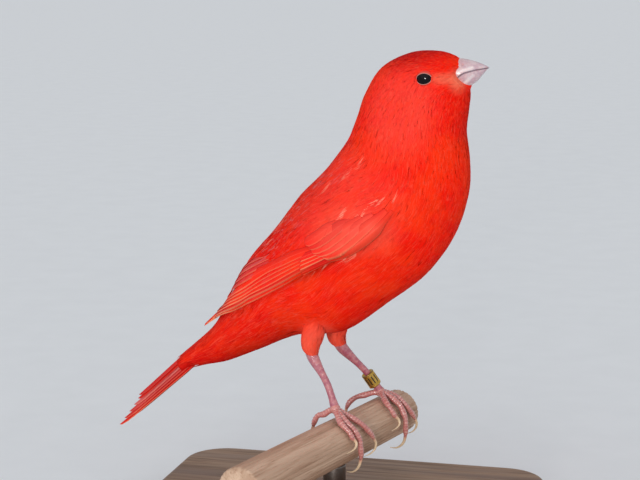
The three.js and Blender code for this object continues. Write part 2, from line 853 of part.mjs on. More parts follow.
function legRing(leg) {
  const { from, height, inner, outer } = RING;
  const profile = [
    [inner, 0],
    [outer, 0],
    [outer, height],
    [inner, height],
    [inner, 0],
  ].map(([r, h]) => new THREE.Vector2(r, h));
  const geometry = new THREE.LatheGeometry(profile, 20);
  const joint = gripPoint(...leg.joint);
  const way = vector(leg.mid).sub(joint).normalize();
  geometry.applyQuaternion(new THREE.Quaternion().setFromUnitVectors(Y, way));
  const foot = joint.clone().addScaledVector(way, from);
  geometry.translate(foot.x, foot.y, foot.z);
  return solidFrom(geometry);
}

// Perch and stand

function perchSolid(extra = 0) {
  const count = PERCH_GROOVES * 2;
  const ring = (along, inset) =>
    Array.from({ length: count }, (_, k) => {
      const groove = k % 2 ? GROOVE_DEPTH : 0;
      return gripPoint(along, (360 * k) / count, PERCH_RADIUS + extra - groove - inset);
    });
  return loft([
    ring(PERCH_FROM - extra, PERCH_END_CHAMFER),
    ring(PERCH_FROM + PERCH_END_CHAMFER - extra, 0),
    ring(PERCH_TO - PERCH_END_CHAMFER + extra, 0),
    ring(PERCH_TO + extra, PERCH_END_CHAMFER),
  ]);
}

function standBase() {
  const outline = (inset) => {
    const x = BASE_LENGTH / 2 - inset;
    const y = BASE_WIDTH / 2 - inset;
    const r = BASE_CORNER - inset;
    const points = [];
    for (const [cx, cy, start] of [
      [x - r, y - r, 0],
      [-x + r, y - r, 90],
      [-x + r, -y + r, 180],
      [x - r, -y + r, 270],
    ]) {
      for (let k = 0; k <= 5; k++) {
        const a = radians(start + k * 18);
        points.push([cx + r * Math.cos(a), cy + r * Math.sin(a)]);
      }
    }
    return points;
  };
  const ring = (inset, z) => outline(inset).map(([x, y]) => new THREE.Vector3(x, y, z));
  return loft([
    ring(0, 0),
    ring(0, BASE_THICKNESS - BASE_CHAMFER),
    ring(BASE_CHAMFER, BASE_THICKNESS),
  ]);
}

function standRod() {
  const bottom = BASE_THICKNESS + GAP - PERCH_AXIS_HEIGHT;
  const foot = gripPoint(ROD_ALONG_PERCH, 0, 0);
  const geometry = new THREE.CylinderGeometry(ROD_RADIUS, ROD_RADIUS, -bottom, 20);
  geometry.rotateX(Math.PI / 2);
  geometry.translate(foot.x, foot.y, foot.z + bottom / 2);
  return solidFrom(geometry).subtract(perchSolid(GAP));
}

// The whole model

const model = new THREE.Group();

// The bird's frame is set so that the rod stands on the middle of the base
const figure = new THREE.Group();
figure.position.copy(gripPoint(ROD_ALONG_PERCH, 0, 0)).negate();
figure.position.z += PERCH_AXIS_HEIGHT;
model.add(figure);

function add(name, solid, look, group = figure) {
  const mesh = new THREE.Mesh(geometryFrom(largest(solid)), new THREE.MeshStandardMaterial(COLOURS[look]));
  mesh.name = name;
  group.add(mesh);
}

const body = bodySolid();
const bodyGrown = bodySolid(GAP);
const tail = tailSolid();

function addHead() {
  const eyes = { left: eyePlace(1).centre, right: eyePlace(-1).centre };
  const sockets = join(Object.values(eyes).map((centre) => ball(centre, EYE.radius + GAP)));
  add("head", join([ahead(body, CUTS.neck), eyelid(1), eyelid(-1)]).subtract(sockets), "plumage");
  for (const [side, centre] of Object.entries(eyes)) add("eye_" + side, ball(centre, EYE.radius), "eye");
  const parts = billSolid()
    .subtract(bodyGrown)
    .subtract(mouthSlit())
    .subtract(join([nostril(1), nostril(-1)]))
    .decompose()
    .sort((a, b) => b.volume() - a.volume())
    .slice(0, 2)
    .sort((a, b) => b.boundingBox().max[2] - a.boundingBox().max[2]);
  add("bill_upper", parts[0], "bill");
  add("bill_lower", parts[1], "bill");
}

function addTrunk() {
  add("neck", behind(ahead(body, CUTS.breast), CUTS.neck), "plumage");
  add("breast", behind(ahead(body, CUTS.belly), CUTS.breast), "plumage");
  add("belly", behind(ahead(body, CUTS.rump), CUTS.belly), "plumage");
  add("wing_left", wingSolid(1).subtract(bodyGrown), "flight");
  add("wing_right", wingSolid(-1).subtract(bodyGrown), "flight");
  add("rump", join([behind(body, CUTS.rump), ...TAIL_COVERTS.flatMap(tailCoverts)]), "plumage");
  add("tail", tail.subtract(bodyGrown), "flight");
}

function addLeg(leg) {
  add("thigh_" + leg.side, thighSolid(leg).subtract(bodyGrown), "plumage");
  const names = Object.keys(leg.toes);
  const footGrown = join([footBall(leg, GAP), toeSolid(leg, "hind", GAP), toeSolid(leg, "middle", GAP)]);
  add("shank_" + leg.side, shankSolid(leg).subtract(thighSolid(leg, GAP)).subtract(footGrown), "leg");
  add("foot_" + leg.side, join([footBall(leg), ...names.map((name) => toeSolid(leg, name))]), "leg");
  for (const name of names) {
    add("claw_" + leg.side + "_" + name, clawSolid(leg, name).subtract(toeSolid(leg, name, GAP)), "claw");
  }
}

addHead();
addTrunk();
LEGS.forEach(addLeg);
add("leg_ring", legRing(LEGS[1]), "ring");
add("stand_perch", perchSolid(), "perch");
add("stand_rod", standRod(), "stand");
add("stand_base", standBase(), "stand", model);

export default model;
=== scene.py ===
import math

import bpy
import numpy as np
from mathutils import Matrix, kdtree


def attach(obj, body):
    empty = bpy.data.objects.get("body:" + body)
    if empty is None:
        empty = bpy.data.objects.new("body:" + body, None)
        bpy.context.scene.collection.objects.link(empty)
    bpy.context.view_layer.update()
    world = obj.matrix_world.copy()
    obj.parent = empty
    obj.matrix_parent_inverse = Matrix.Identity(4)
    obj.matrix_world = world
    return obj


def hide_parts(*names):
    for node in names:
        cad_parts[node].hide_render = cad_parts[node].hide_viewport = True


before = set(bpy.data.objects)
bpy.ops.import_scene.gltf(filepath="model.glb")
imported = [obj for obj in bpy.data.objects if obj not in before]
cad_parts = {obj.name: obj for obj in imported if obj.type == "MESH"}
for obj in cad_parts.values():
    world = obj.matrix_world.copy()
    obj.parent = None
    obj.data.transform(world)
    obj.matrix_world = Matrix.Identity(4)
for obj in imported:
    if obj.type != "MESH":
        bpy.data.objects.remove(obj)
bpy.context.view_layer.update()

# Sizes are in millimetres in the bird's own frame, as in the part's source: +X ahead, +Y the bird's left
# and +Z up
MM = 0.001
TAU = 2 * math.pi
Y = np.array([0.0, 1.0, 0.0])
Z = np.array([0.0, 0.0, 1.0])
SIDES = {"right": -1, "left": 1}

# Perch and stand
PERCH_AXIS_HEIGHT = 24.5
PERCH_RADIUS = 6.1
PERCH_FROM = -60.9
PERCH_TO = 25.0
PERCH_TURN = math.radians(15.4)
PERCH_GROOVES = 30
PERCH_WAY = np.array([math.sin(PERCH_TURN), math.cos(PERCH_TURN), 0])
PERCH_FRONT = np.array([math.cos(PERCH_TURN), -math.sin(PERCH_TURN), 0])
GRIP = np.array([-4.35, 0, -2.53])
ROD_ALONG_PERCH = -13.3
ROD_RADIUS = 3.0
BASE = {"length": 104, "width": 88, "thickness": 8, "corner": 12}
SHIFT = PERCH_AXIS_HEIGHT * Z - GRIP - PERCH_WAY * ROD_ALONG_PERCH

# Sections of the body seen from the side, tail first: back x and z, belly x and z, half width. The first two
# carry on along the tail, for its coverts.
BODY = np.array([
    [-67.4, 3.4, -63.8, -0.2, 4.4],
    [-60.5, 10.7, -56.5, 6.5, 4.3],
    [-53.2, 16.9, -50.6, 12.6, 3.7],
    [-45.2, 24.1, -40.9, 15.2, 6.0],
    [-37.9, 32.4, -31.6, 19.1, 8.3],
    [-33.4, 41.7, -20.5, 23.8, 10.3],
    [-26.4, 50.9, -8.0, 25.4, 12.0],
    [-20.3, 60.6, 4.5, 34.2, 13.2],
    [-13.4, 67.6, 13.9, 41.7, 13.8],
    [-9.0, 73.2, 21.2, 52.1, 13.9],
    [-6.7, 76.8, 24.8, 63.5, 13.0],
    [-5.6, 80.0, 24.9, 72.5, 11.8],
    [-4.4, 83.6, 24.0, 79.5, 10.7],
    [-2.6, 89.0, 24.5, 84.8, 9.8],
    [1.8, 95.9, 24.8, 87.6, 8.9],
    [9.5, 99.8, 24.9, 89.0, 7.7],
    [17.0, 100.2, 25.0, 90.2, 5.7],
    [21.9, 98.7, 25.3, 91.2, 3.5],
])
TAIL_ROOT = 2
LAST = len(BODY) - 1

# The coat by section: its depth over the skin, and the length, width and spacing of its feathers
COAT = np.array([
    [0.29, 7.0, 0.27, 0.95],
    [0.29, 7.0, 0.27, 0.95],
    [0.34, 7.0, 0.27, 0.90],
    [0.39, 7.4, 0.27, 0.92],
    [0.45, 7.4, 0.27, 0.95],
    [0.48, 7.4, 0.27, 0.98],
    [0.51, 7.4, 0.27, 0.98],
    [0.51, 7.0, 0.26, 0.98],
    [0.51, 6.6, 0.25, 0.95],
    [0.48, 6.0, 0.24, 0.90],
    [0.45, 5.4, 0.23, 0.83],
    [0.39, 4.6, 0.22, 0.76],
    [0.34, 3.8, 0.20, 0.68],
    [0.29, 3.1, 0.18, 0.60],
    [0.26, 2.7, 0.16, 0.54],
    [0.22, 2.3, 0.15, 0.48],
    [0.20, 1.8, 0.13, 0.43],
    [0.14, 1.1, 0.11, 0.38],
])

# The folded wing in its own frame, seen from the side: a runs from its front to its tip, c across it to the
# back. Then its lower edge, the line of the back over it, and how far it raises that line.
WING_FRONT = np.array([8.8, 60.5])
WING_TIP = np.array([-47.4, 25.0])
WING_ALONG = (WING_TIP - WING_FRONT) / np.linalg.norm(WING_TIP - WING_FRONT)
WING_ACROSS = np.array([WING_ALONG[1], -WING_ALONG[0]])
WING_EDGE = np.array([
    [-2.0, 0.5], [1.2, -0.1], [4.0, -1.0], [7.3, -2.2], [10.7, -3.0], [16.0, -3.1],
    [21.5, -2.2], [30.6, -1.5], [41.9, -1.3], [49.2, -0.9], [55.6, -0.3], [66.5, -0.3],
])
WING_BACK = np.array([
    [0.0, 21.0], [15.0, 17.4], [24.4, 15.0], [31.3, 12.2], [40.3, 9.8], [46.0, 7.9],
    [50.2, 5.8], [53.4, 3.95], [56.7, 2.2], [61.9, 1.3], [66.6, 0.3],
])
BACK_RIDGE = np.array([[27, 0.0], [35, 0.6], [40, 1.1], [45.7, 1.4], [54.5, 1.9], [60, 1.0], [64, 0.0]])
BULGE = 2.5

# Legs: places in space down to the middle of the shank, then places round the perch, as the way along it, the
# degrees from its top towards the front and the distance from its axis
THIGH_RADII = np.array([2.4, 3.1, 2.65, 1.9, 1.0, 0.8])
LEGS = {
    "right": {
        "thigh": [[-14.0, -6.6, 30.5], [-15.0, -7.1, 26.0], [-15.6, -7.7, 22.6]],
        "ankle": [-14.8, -8.1, 19.1],
        "mid": [-10.4, -10.7, 12.9],
        "joint": [-12.6, -1, 9.2],
        "toes": {
            "middle": [[-13.5, 18, 7.9], [-13.9, 36, 7.5], [-13.3, 54, 7.45], [-12.6, 72, 7.4],
                       [-12.4, 90, 7.4], [-12.1, 106, 7.8], [-12.0, 118, 8.1]],
            "inner": [[-10.6, 16, 7.7], [-9.4, 34, 7.4], [-8.1, 53, 7.3], [-6.3, 72, 7.3], [-4.9, 88, 7.3]],
            "outer": [[-15.2, 18, 7.7], [-16.1, 36, 7.4], [-15.8, 54, 7.3], [-15.2, 70, 7.3]],
            "hind": [[-12.9, -12, 8.7], [-13.1, -24, 8.3], [-13.3, -36, 8.5],
                     [-13.2, -48, 8.2], [-13.0, -60, 7.6]],
        },
        "claws": {
            "middle": [[-12.0, 128, 8.6], [-12.0, 138, 8.9], [-12.0, 148, 8.8], [-12.1, 158, 8.2]],
            "inner": [[-4.3, 98, 7.7], [-4.4, 110, 7.9], [-5.2, 122, 7.6], [-6.4, 131, 7.0]],
            "outer": [[-15.0, 79, 7.6], [-16.0, 86, 7.7], [-17.7, 90, 7.4], [-19.4, 92, 6.9]],
            "hind": [[-12.9, -73, 7.5], [-12.8, -88, 7.7], [-12.8, -104, 7.5], [-12.8, -120, 6.9]],
        },
    },
    "left": {
        "thigh": [[-11.0, 6.6, 29.5], [-12.0, 7.1, 25.2], [-12.2, 7.6, 21.8]],
        "ankle": [-10.4, 8.1, 18.1],
        "mid": [-4.5, 10.6, 11.4],
        "joint": [12.8, 0, 8.2],
        "toes": {
            "middle": [[13.3, 16, 7.7], [13.6, 34, 7.45], [13.7, 54, 7.4], [13.9, 74, 7.4],
                       [14.0, 92, 7.4], [14.3, 108, 7.7], [14.6, 121, 8.1]],
            "inner": [[10.8, 15, 7.6], [9.2, 33, 7.4], [8.6, 51, 7.3], [9.2, 68, 7.3]],
            "outer": [[15.1, 15, 7.6], [16.0, 34, 7.4], [16.7, 56, 7.3], [18.3, 76, 7.3], [19.8, 92, 7.3]],
            "hind": [[11.6, -14, 8.1], [10.2, -27, 8.3], [9.0, -40, 8.7], [8.2, -53, 9.0], [7.7, -66, 8.6]],
        },
        "claws": {
            "middle": [[14.8, 131, 8.6], [14.8, 142, 8.9], [14.7, 153, 8.8], [14.5, 164, 8.2]],
            "inner": [[9.7, 76, 7.6], [9.5, 85, 7.7], [8.1, 91, 7.4], [6.2, 94, 6.9]],
            "outer": [[20.5, 102, 7.7], [20.8, 114, 7.8], [20.7, 126, 7.5], [20.3, 136, 6.9]],
            "hind": [[7.5, -80, 8.1], [7.4, -94, 7.9], [7.4, -108, 7.5], [7.5, -122, 6.9]],
        },
    },
}


# Meshes: faces are a list of arrays, one for each number of corners


def circle(count):
    return np.linspace(0, TAU, count, endpoint=False)


def grid(rows, columns):
    return np.meshgrid(rows, columns, indexing="ij")


def corners_of(faces):
    """The corners of all faces in a row, and each face's number of them."""
    corners = np.concatenate([group.ravel() for group in faces]).astype(np.int32)
    return corners, np.concatenate([np.full(len(group), group.shape[1]) for group in faces])


def piece(name, points, faces, material, slot, replaces=(), uv=None, values=None, normals=None, world=False):
    """A mesh object that rides on the part's body. Its points are in the bird's frame, or in the world's."""
    mesh = bpy.data.meshes.new(name)
    corners, sizes = corners_of(faces)
    place = (np.asarray(points, float) + (0 if world else SHIFT)) * MM
    mesh.vertices.add(len(place))
    mesh.vertices.foreach_set("co", place.astype(np.float32).ravel())
    mesh.loops.add(len(corners))
    mesh.loops.foreach_set("vertex_index", corners)
    mesh.polygons.add(len(sizes))
    mesh.polygons.foreach_set("loop_start", (np.cumsum(sizes) - sizes).astype(np.int32))
    if uv is not None:
        uv = uv if len(uv) == len(corners) else uv[corners]
        mesh.uv_layers.new(name="OFBake").uv.foreach_set("vector", uv.astype(np.float32).ravel())
    for key, value in (values or {}).items():
        mesh.attributes.new(key, "FLOAT", "POINT").data.foreach_set("value", value.astype(np.float32).ravel())
    mesh.polygons.foreach_set("use_smooth", np.ones(len(sizes), bool))
    mesh.update()
    if normals is not None:
        mesh.normals_split_custom_set_from_vertices(normals)
    mesh.materials.append(material)
    made = bpy.data.objects.new(name, mesh)
    bpy.context.scene.collection.objects.link(made)
    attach(made, "root")
    if replaces:
        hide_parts(*replaces)
    return made


def outward(points, faces):
    """The faces, turned so that a closed mesh has its normals outside."""
    volume = 0.0
    for group in faces:
        a = points[group[:, 0]]
        for k in range(1, group.shape[1] - 1):
            volume += np.einsum("ij,ij->", a, np.cross(points[group[:, k]], points[group[:, k + 1]]))
    return faces if volume > 0 else [group[:, ::-1] for group in faces]


def ring_faces(count, sides, rows):
    """Faces between neighbouring rings of points. With as many rows as rings, the last joins the first."""
    i, k = grid(np.arange(rows), np.arange(sides))
    after = (k + 1) % sides
    over = (i + 1) % count * sides
    return np.stack([i * sides + k, i * sides + after, over + after, over + k], -1).reshape(-1, 4)


def loft(rings):
    """A closed mesh through rings of points, an array of rings by sides by 3."""
    count, sides = rings.shape[:2]
    points = np.concatenate([rings.reshape(-1, 3), rings[[0, -1]].mean(1)])
    k = np.arange(sides)
    after = (k + 1) % sides
    end = (count - 1) * sides
    start_cap = np.stack([np.full(sides, count * sides), after, k], -1)
    end_cap = np.stack([np.full(sides, count * sides + 1), end + k, end + after], -1)
    caps = np.concatenate([start_cap, end_cap])
    return points, outward(points, [ring_faces(count, sides, count - 1), caps])


def band(rings):
    """A closed band: rings of points, the last joined to the first."""
    count, sides = rings.shape[:2]
    points = rings.reshape(-1, 3)
    return points, outward(points, [ring_faces(count, sides, count)])


def merged(parts):
    """Several meshes as one."""
    sizes = {}
    start = 0
    for points, faces in parts:
        for group in faces:
            sizes.setdefault(group.shape[1], []).append(group + start)
        start += len(points)
    faces = [np.concatenate(groups) for groups in sizes.values()]
    return np.concatenate([points for points, _ in parts]), faces


def sheet_faces(rows, columns):
    """Faces of a closed thin sheet: an outer grid, an inner grid and the rim between them."""
    i, j = grid(np.arange(rows - 1), np.arange(columns - 1))
    a = (i * columns + j).ravel()
    below = rows * columns
    outer = np.stack([a, a + columns, a + columns + 1, a + 1], -1)
    rim = np.concatenate([
        np.arange(columns - 1),
        np.arange(rows - 1) * columns + columns - 1,
        (rows - 1) * columns + np.arange(columns - 1, 0, -1),
        np.arange(rows - 1, 0, -1) * columns,
    ])
    after = np.roll(rim, -1)
    sides = np.stack([rim, after, after + below, rim + below], -1)
    return [np.concatenate([outer, outer[:, ::-1] + below, sides])]


# Curves and surfaces


def smooth(values, place):
    """Values read smoothly between listed ones, at places counted along the list."""
    values = np.asarray(values, float)
    place = np.asarray(place, float)
    last = len(values) - 1
    i = np.clip(np.floor(place).astype(int), 0, last - 1)
    t = place - i
    if values.ndim > 1:
        t = t[..., None]
    a, b, c, d = (values[np.clip(i + k, 0, last)] for k in (-1, 0, 1, 2))
    return b + 0.5 * t * (c - a + t * (2 * a - 5 * b + 4 * c - d + t * (3 * (b - c) + d - a)))


def sizes_at(table, place):
    """The columns of a table, each read smoothly at places along its rows."""
    return np.moveaxis(smooth(table, place), -1, 0)


def read(table, at):
    """The second column of a table, read straight between its rows by the first."""
    return np.interp(at, table[:, 0], table[:, 1])


def step(low, high, value):
    """0 at low, 1 at high, smooth between."""
    t = np.clip((np.asarray(value, float) - low) / (high - low), 0, 1)
    return t * t * (3 - 2 * t)


def unit(v):
    return v / np.maximum(np.linalg.norm(v, axis=-1, keepdims=True), 1e-9)


def level(v, normal):
    """A direction, laid flat on surfaces with these normals."""
    return v - (normal @ v)[..., None] * normal


def section(place):
    back_x, back_z, belly_x, belly_z, wide = sizes_at(BODY, place)
    zero = np.zeros_like(wide)
    middle = np.stack([(back_x + belly_x) / 2, zero, (back_z + belly_z) / 2], -1)
    up = np.stack([back_x - belly_x, zero, back_z - belly_z], -1)
    return middle, unit(up), np.linalg.norm(up, axis=-1) / 2, wide


def body(place, angle, lift=0.0):
    """Points of the body: angle from the back, positive on the bird's left, lifted off the surface."""
    middle, up, deep, wide = section(place)
    high = (deep + lift) * np.cos(angle)
    across = (wide + lift) * np.sin(angle)
    return middle + up * high[..., None] + Y * across[..., None]


def place_of(x, z):
    """Where along the body the section through a point of the side view lies."""
    low = np.zeros_like(x)
    high = np.full_like(x, LAST)
    for _ in range(26):
        place = (low + high) / 2
        middle, up, _, _ = section(place)
        ahead = (x - middle[..., 0]) * up[..., 2] - (z - middle[..., 2]) * up[..., 0]
        low = np.where(ahead > 0, place, low)
        high = np.where(ahead > 0, high, place)
    return (low + high) / 2


def height_in(x, z, middle, up):
    """How far towards the back from a section's middle a point of the side view lies."""
    return (x - middle[..., 0]) * up[..., 0] + (z - middle[..., 2]) * up[..., 2]


def wing_frame(p):
    """Places of points in the wing's frame, and their height there over the wing's lower edge."""
    dx = p[..., 0] - WING_FRONT[0]
    dz = p[..., 2] - WING_FRONT[1]
    a = dx * WING_ALONG[0] + dz * WING_ALONG[1]
    c = dx * WING_ACROSS[0] + dz * WING_ACROSS[1]
    return a, c, c - read(WING_EDGE, a)


def bulge_at(a, c):
    """How far the folded wing lifts the coat off the body, along its arm and along the line of the back."""
    b = c - read(WING_EDGE, a)
    along = step(-2.5, 9, a) * (1 - 0.65 * step(22, 44, a)) * (1 - step(58, 68, a))
    across = step(-0.9, 1.0, b) * (1 - 0.8 * step(6, 18, b))
    return BULGE * along * across + read(BACK_RIDGE, a) * step(7.0, 2.4, read(WING_BACK, a) - c)


def bulge(place, angle):
    return bulge_at(*wing_frame(body(place, angle))[:2])


def coat_point(place, angle, height):
    return body(place, angle, bulge(place, angle) + height)


def grip_point(along, angle, reach):
    a = math.radians(angle)
    return GRIP + PERCH_WAY * along + PERCH_FRONT * reach * math.sin(a) + Z * reach * math.cos(a)


# Materials


def rgb(red, green, blue):
    return (red, green, blue, 1.0)


RED = rgb(0.90, 0.009, 0.002)
ORANGE_RED = rgb(0.94, 0.030, 0.004)
CRIMSON = rgb(0.52, 0.003, 0.004)
ROSE = rgb(0.94, 0.055, 0.040)
SALMON = rgb(0.96, 0.13, 0.075)
# Greyish pink, for painted sheen on the back and on feathers
PAINTED_SHEEN_GREY = rgb(0.62, 0.17, 0.17)
PEACH = rgb(0.92, 0.27, 0.15)
WISP = rgb(0.98, 0.31, 0.21)
RIM = rgb(1.0, 0.42, 0.21)


class Nodes:
    """A node tree, with short ways to add what the materials here use."""

    def __init__(self, tree):
        self.tree = tree

    def put(self, socket, value):
        """Links or sets a socket."""
        if isinstance(value, bpy.types.NodeSocket):
            self.tree.links.new(value, socket)
        else:
            socket.default_value = value

    def add(self, kind, inputs=(), out=0, **settings):
        """One output of a new node. Its inputs are in a row, or by name or number."""
        made = self.tree.nodes.new("ShaderNode" + kind)
        for key, value in settings.items():
            setattr(made, key, value)
        for key, value in inputs.items() if isinstance(inputs, dict) else enumerate(inputs):
            self.put(made.inputs[key], value)
        return made.outputs[out]

    def calc(self, operation, a, b=0.0):
        return self.add("Math", (a, b), operation=operation)

    def times(self, a, b):
        return self.calc("MULTIPLY", a, b)

    def vector(self, operation, a, b, out=0):
        return self.add("VectorMath", (a, b), out, operation=operation)

    def mix(self, share, a, b, how="MIX"):
        return self.add("Mix", {0: share, 6: a, 7: b}, 2, data_type="RGBA", blend_type=how)

    def over(self, colour, *layers):
        """A colour with others laid over it, each by its share."""
        for share, other in layers:
            colour = self.mix(share, colour, other)
        return colour

    def ramp(self, value, low, high, to_low=0.0, to_high=1.0):
        """The way of a value from low to high, smooth, as a share or from one number to another."""
        return self.add("MapRange", (value, low, high, to_low, to_high), interpolation_type="SMOOTHSTEP")

    def value(self, name):
        return self.add("Attribute", out="Fac", attribute_name=name)

    def noise(self, place, scale, detail=3.0, roughness=0.55, distortion=0.0):
        inputs = {"Vector": place, "Scale": scale, "Detail": detail, "Roughness": roughness}
        return self.add("TexNoise", {**inputs, "Distortion": distortion}, "Fac")

    def place(self, stretch=None):
        """The place on the object in millimetres of the bird's frame."""
        scaled = self.vector("MULTIPLY", self.add("TexCoord", out="Object"), (1000, 1000, 1000))
        moved = self.vector("SUBTRACT", scaled, tuple(SHIFT))
        return moved if stretch is None else self.vector("MULTIPLY", moved, stretch)

    def bump(self, height, distance, strength, under=None):
        inputs = {"Height": height, "Distance": distance, "Strength": strength}
        return self.add("Bump", inputs if under is None else {**inputs, "Normal": under})

    def marked(self):
        """The plumage's markings: their colour, and how far the place is in the wing's pale patch."""
        made = self.tree.nodes.new("ShaderNodeGroup")
        made.node_tree = MARKINGS
        return made.outputs[0], made.outputs[1]

    def sockets(self, colour, grain, smoothest, roughest, relief=0, strength=0, **others):
        """A shader's sockets, with underscores for spaces. One grain gives its roughness and relief."""
        made = {"Base_Color": colour, "Roughness": self.ramp(grain, 0.3, 0.7, smoothest, roughest)}
        if relief:
            made["Normal"] = self.bump(grain, relief, strength)
        return {**made, **others}


def material(name, recipe, *sizes):
    """A material by its recipe, a function of its nodes that gives the shader's sockets."""
    made = bpy.data.materials.new(name)
    made.use_nodes = True
    nodes = Nodes(made.node_tree)
    shader = made.node_tree.nodes["Principled BSDF"]
    for key, value in recipe(nodes, *sizes).items():
        nodes.put(shader.inputs[key.replace("_", " ")], value)
    return made


def markings():
    """The plumage's colours by place, shared by skin, coat and feathers."""
    group = bpy.data.node_groups.new("markings", "ShaderNodeTree")
    group.interface.new_socket("Color", in_out="OUTPUT", socket_type="NodeSocketColor")
    group.interface.new_socket("Pale", in_out="OUTPUT", socket_type="NodeSocketFloat")
    g = Nodes(group)
    place = g.place()
    x, y, z = (g.add("SeparateXYZ", (place,), k) for k in range(3))
    flank = g.calc("ABSOLUTE", y)
    halved = g.add("CombineXYZ", (x, flank, z))

    def near(centre, inner, outer, stretch=(1, 1, 1)):
        """1 nearer to a place than inner, 0 beyond outer, on both sides of the bird."""
        away = g.vector("MULTIPLY", g.vector("SUBTRACT", halved, centre), stretch)
        return g.ramp(g.add("VectorMath", (away,), "Value", operation="LENGTH"), inner, outer, 1.0, 0.0)

    def toned(colour, *tones):
        return g.over(colour, *((g.times(near(*where), share), other) for share, other, *where in tones))

    patches = g.noise(place, 0.09, 2.0)
    clumps = g.noise(place, 0.5, 2.0)
    ways = [(way[0], 0, way[1]) for way in (WING_ALONG, WING_ACROSS)]
    along, across = (g.vector("DOT_PRODUCT", halved, way, "Value") for way in ways)
    wing_lines = g.noise(g.add("CombineXYZ", (g.times(along, 0.07), across, flank)), 1.6, 3.0, 0.6)
    colour = toned(
        g.mix(g.ramp(patches, 0.36, 0.64), RED, ORANGE_RED),
        (0.7, ROSE, (8, 11, 86), 4.0, 14.0, (1, 0.6, 0.8)),
        (0.55, ROSE, (-8, 14, 62), 6.0, 19.0, (0.8, 0.6, 1)),
        (1.0, CRIMSON, (9, 0, 103), 5.0, 13.5),
        (0.45, CRIMSON, (25, 0, 81), 2.0, 10.0),
        # Darker crimson on the lower belly and vent: painted shade on the underside
        (0.35, CRIMSON, (-34, 0, 22), 5.0, 22.0, (0.6, 1, 1)),
        (0.4, CRIMSON, (-52, 0, 14), 6.0, 22.0),
    )
    back = g.times(near((-24, 0, 55), 8.0, 21.0, (0.5, 1.3, 0.5)), 0.45)
    carpal = near((-2.0, 14.5, 54.5), 5.0, 10.5, (0.72, 0.5, 1.25))
    colour = g.over(
        colour,
        (back, CRIMSON),
        # Greyish streaks along the back: painted sheen
        (g.times(back, g.ramp(wing_lines, 0.52, 0.7, 0.0, 1.9)), PAINTED_SHEEN_GREY),
        (g.ramp(clumps, 0.58, 0.85, 0.0, 0.3), SALMON),
        (g.times(carpal, 0.3), SALMON),
    )
    colour = toned(
        colour,
        (0.9, CRIMSON, (-64, 0, 4), 7.0, 19.0),
        (0.6, CRIMSON, (-42, 0, 31), 3.0, 12.0, (0.6, 1, 1.2)),
        (0.75, SALMON, (-14.0, 7.6, 22.0), 3.0, 7.5, (1, 1, 0.8)),
        (0.6, PEACH, (22.0, 4.6, 92.8), 0.6, 4.4),
        (0.4, PEACH, (18.6, 7.0, 93.6), 0.3, 2.8, (0.5, 0.6, 1.2)),
    )
    out = group.nodes.new("NodeGroupOutput")
    g.put(out.inputs[0], colour)
    g.put(out.inputs[1], carpal)
    return group


MARKINGS = markings()


def coat_look(g):
    tint, shade, along, wisp = (g.value(name) for name in ("tint", "shade", "along", "wisp"))
    grain = g.noise(g.place(), 9.0, 2.0)
    colour = g.over(
        g.marked()[0],
        (g.ramp(tint, 0.5, 1.0, 0.0, 0.35), ORANGE_RED),
        (g.ramp(tint, 0.4, 0.0, 0.0, 0.22), CRIMSON),
        (g.times(g.ramp(shade, 0.6, 1.0), g.ramp(along, 0.2, 1.0, 0.08, 0.34)), SALMON),
        # Darker towards each strand's root: painted shade where the strands lie under the others
        (g.ramp(along, 0.5, 0.0, 0.0, 0.15), CRIMSON),
        (g.times(wisp, g.ramp(along, 0.1, 0.6, 0.2, 1.0)), WISP),
    )
    return g.sockets(colour, grain, 0.5, 0.66, 0.00003, 0.3, Specular_IOR_Level=0.04)


def skin_look(g):
    grain = g.noise(g.place(), 2.2, 3.0)
    colour = g.over(g.marked()[0], (g.ramp(grain, 0.35, 0.7, 0.0, 0.2), CRIMSON))
    return g.sockets(colour, grain, 0.6, 0.8, 0.0003, 0.6, Specular_IOR_Level=0.08)


def vane_look(g):
    """Flight feathers and coverts: barbs slant from the shaft, and the edge that lies open is pale."""
    marked, pale = g.marked()
    names = ("tint", "across", "run", "edge", "grey", "tip")
    tint, across, run, edge, grey, tip = (g.value(name) for name in names)
    aside = g.calc("ABSOLUTE", across)
    slant = g.calc("SUBTRACT", run, g.times(aside, 1.6))
    barbs = g.noise(g.add("CombineXYZ", (g.times(slant, 5.5), g.times(across, 0.35), tint)), 1.0, 2.0, 0.6)
    rim = g.times(g.ramp(across, 0.66, 0.92), edge)
    shaft = g.times(g.ramp(aside, 0.12, 0.03), edge)
    colour = g.over(
        marked,
        (g.ramp(tint, 0.5, 1.0, 0.0, 0.5), ORANGE_RED),
        (g.ramp(tint, 0.45, 0.0, 0.0, 0.5), CRIMSON),
        # Greyish streaks in the barbs: painted sheen
        (g.times(grey, g.ramp(barbs, 0.25, 0.6, 0.4, 1.0)), PAINTED_SHEEN_GREY),
        (g.ramp(barbs, 0.5, 0.75, 0.0, 0.14), SALMON),
        (g.ramp(barbs, 0.5, 0.25, 0.0, 0.3), CRIMSON),
        (g.times(pale, g.ramp(edge, 0.1, 0.5, 0.0, 0.22)), SALMON),
        # Darker towards the side that lies under the next feather: painted shade
        (g.ramp(across, 0.3, -0.9, 0.0, 0.35), CRIMSON),
        (g.times(rim, g.ramp(tip, 0.35, 0.95, 0.45, 1.0)), RIM),
        (g.times(shaft, 0.25), WISP),
    )
    return g.sockets(colour, barbs, 0.4, 0.55, 0.00008, 0.5, Specular_IOR_Level=0.16)


def eye_look(g):
    mottled = g.noise(g.place(), 2.5, 3.0)
    colour = g.mix(mottled, rgb(0.001, 0.0002, 0.0006), rgb(0.006, 0.001, 0.003))
    return g.sockets(colour, mottled, 0.03, 0.05, Specular_IOR_Level=0.2)


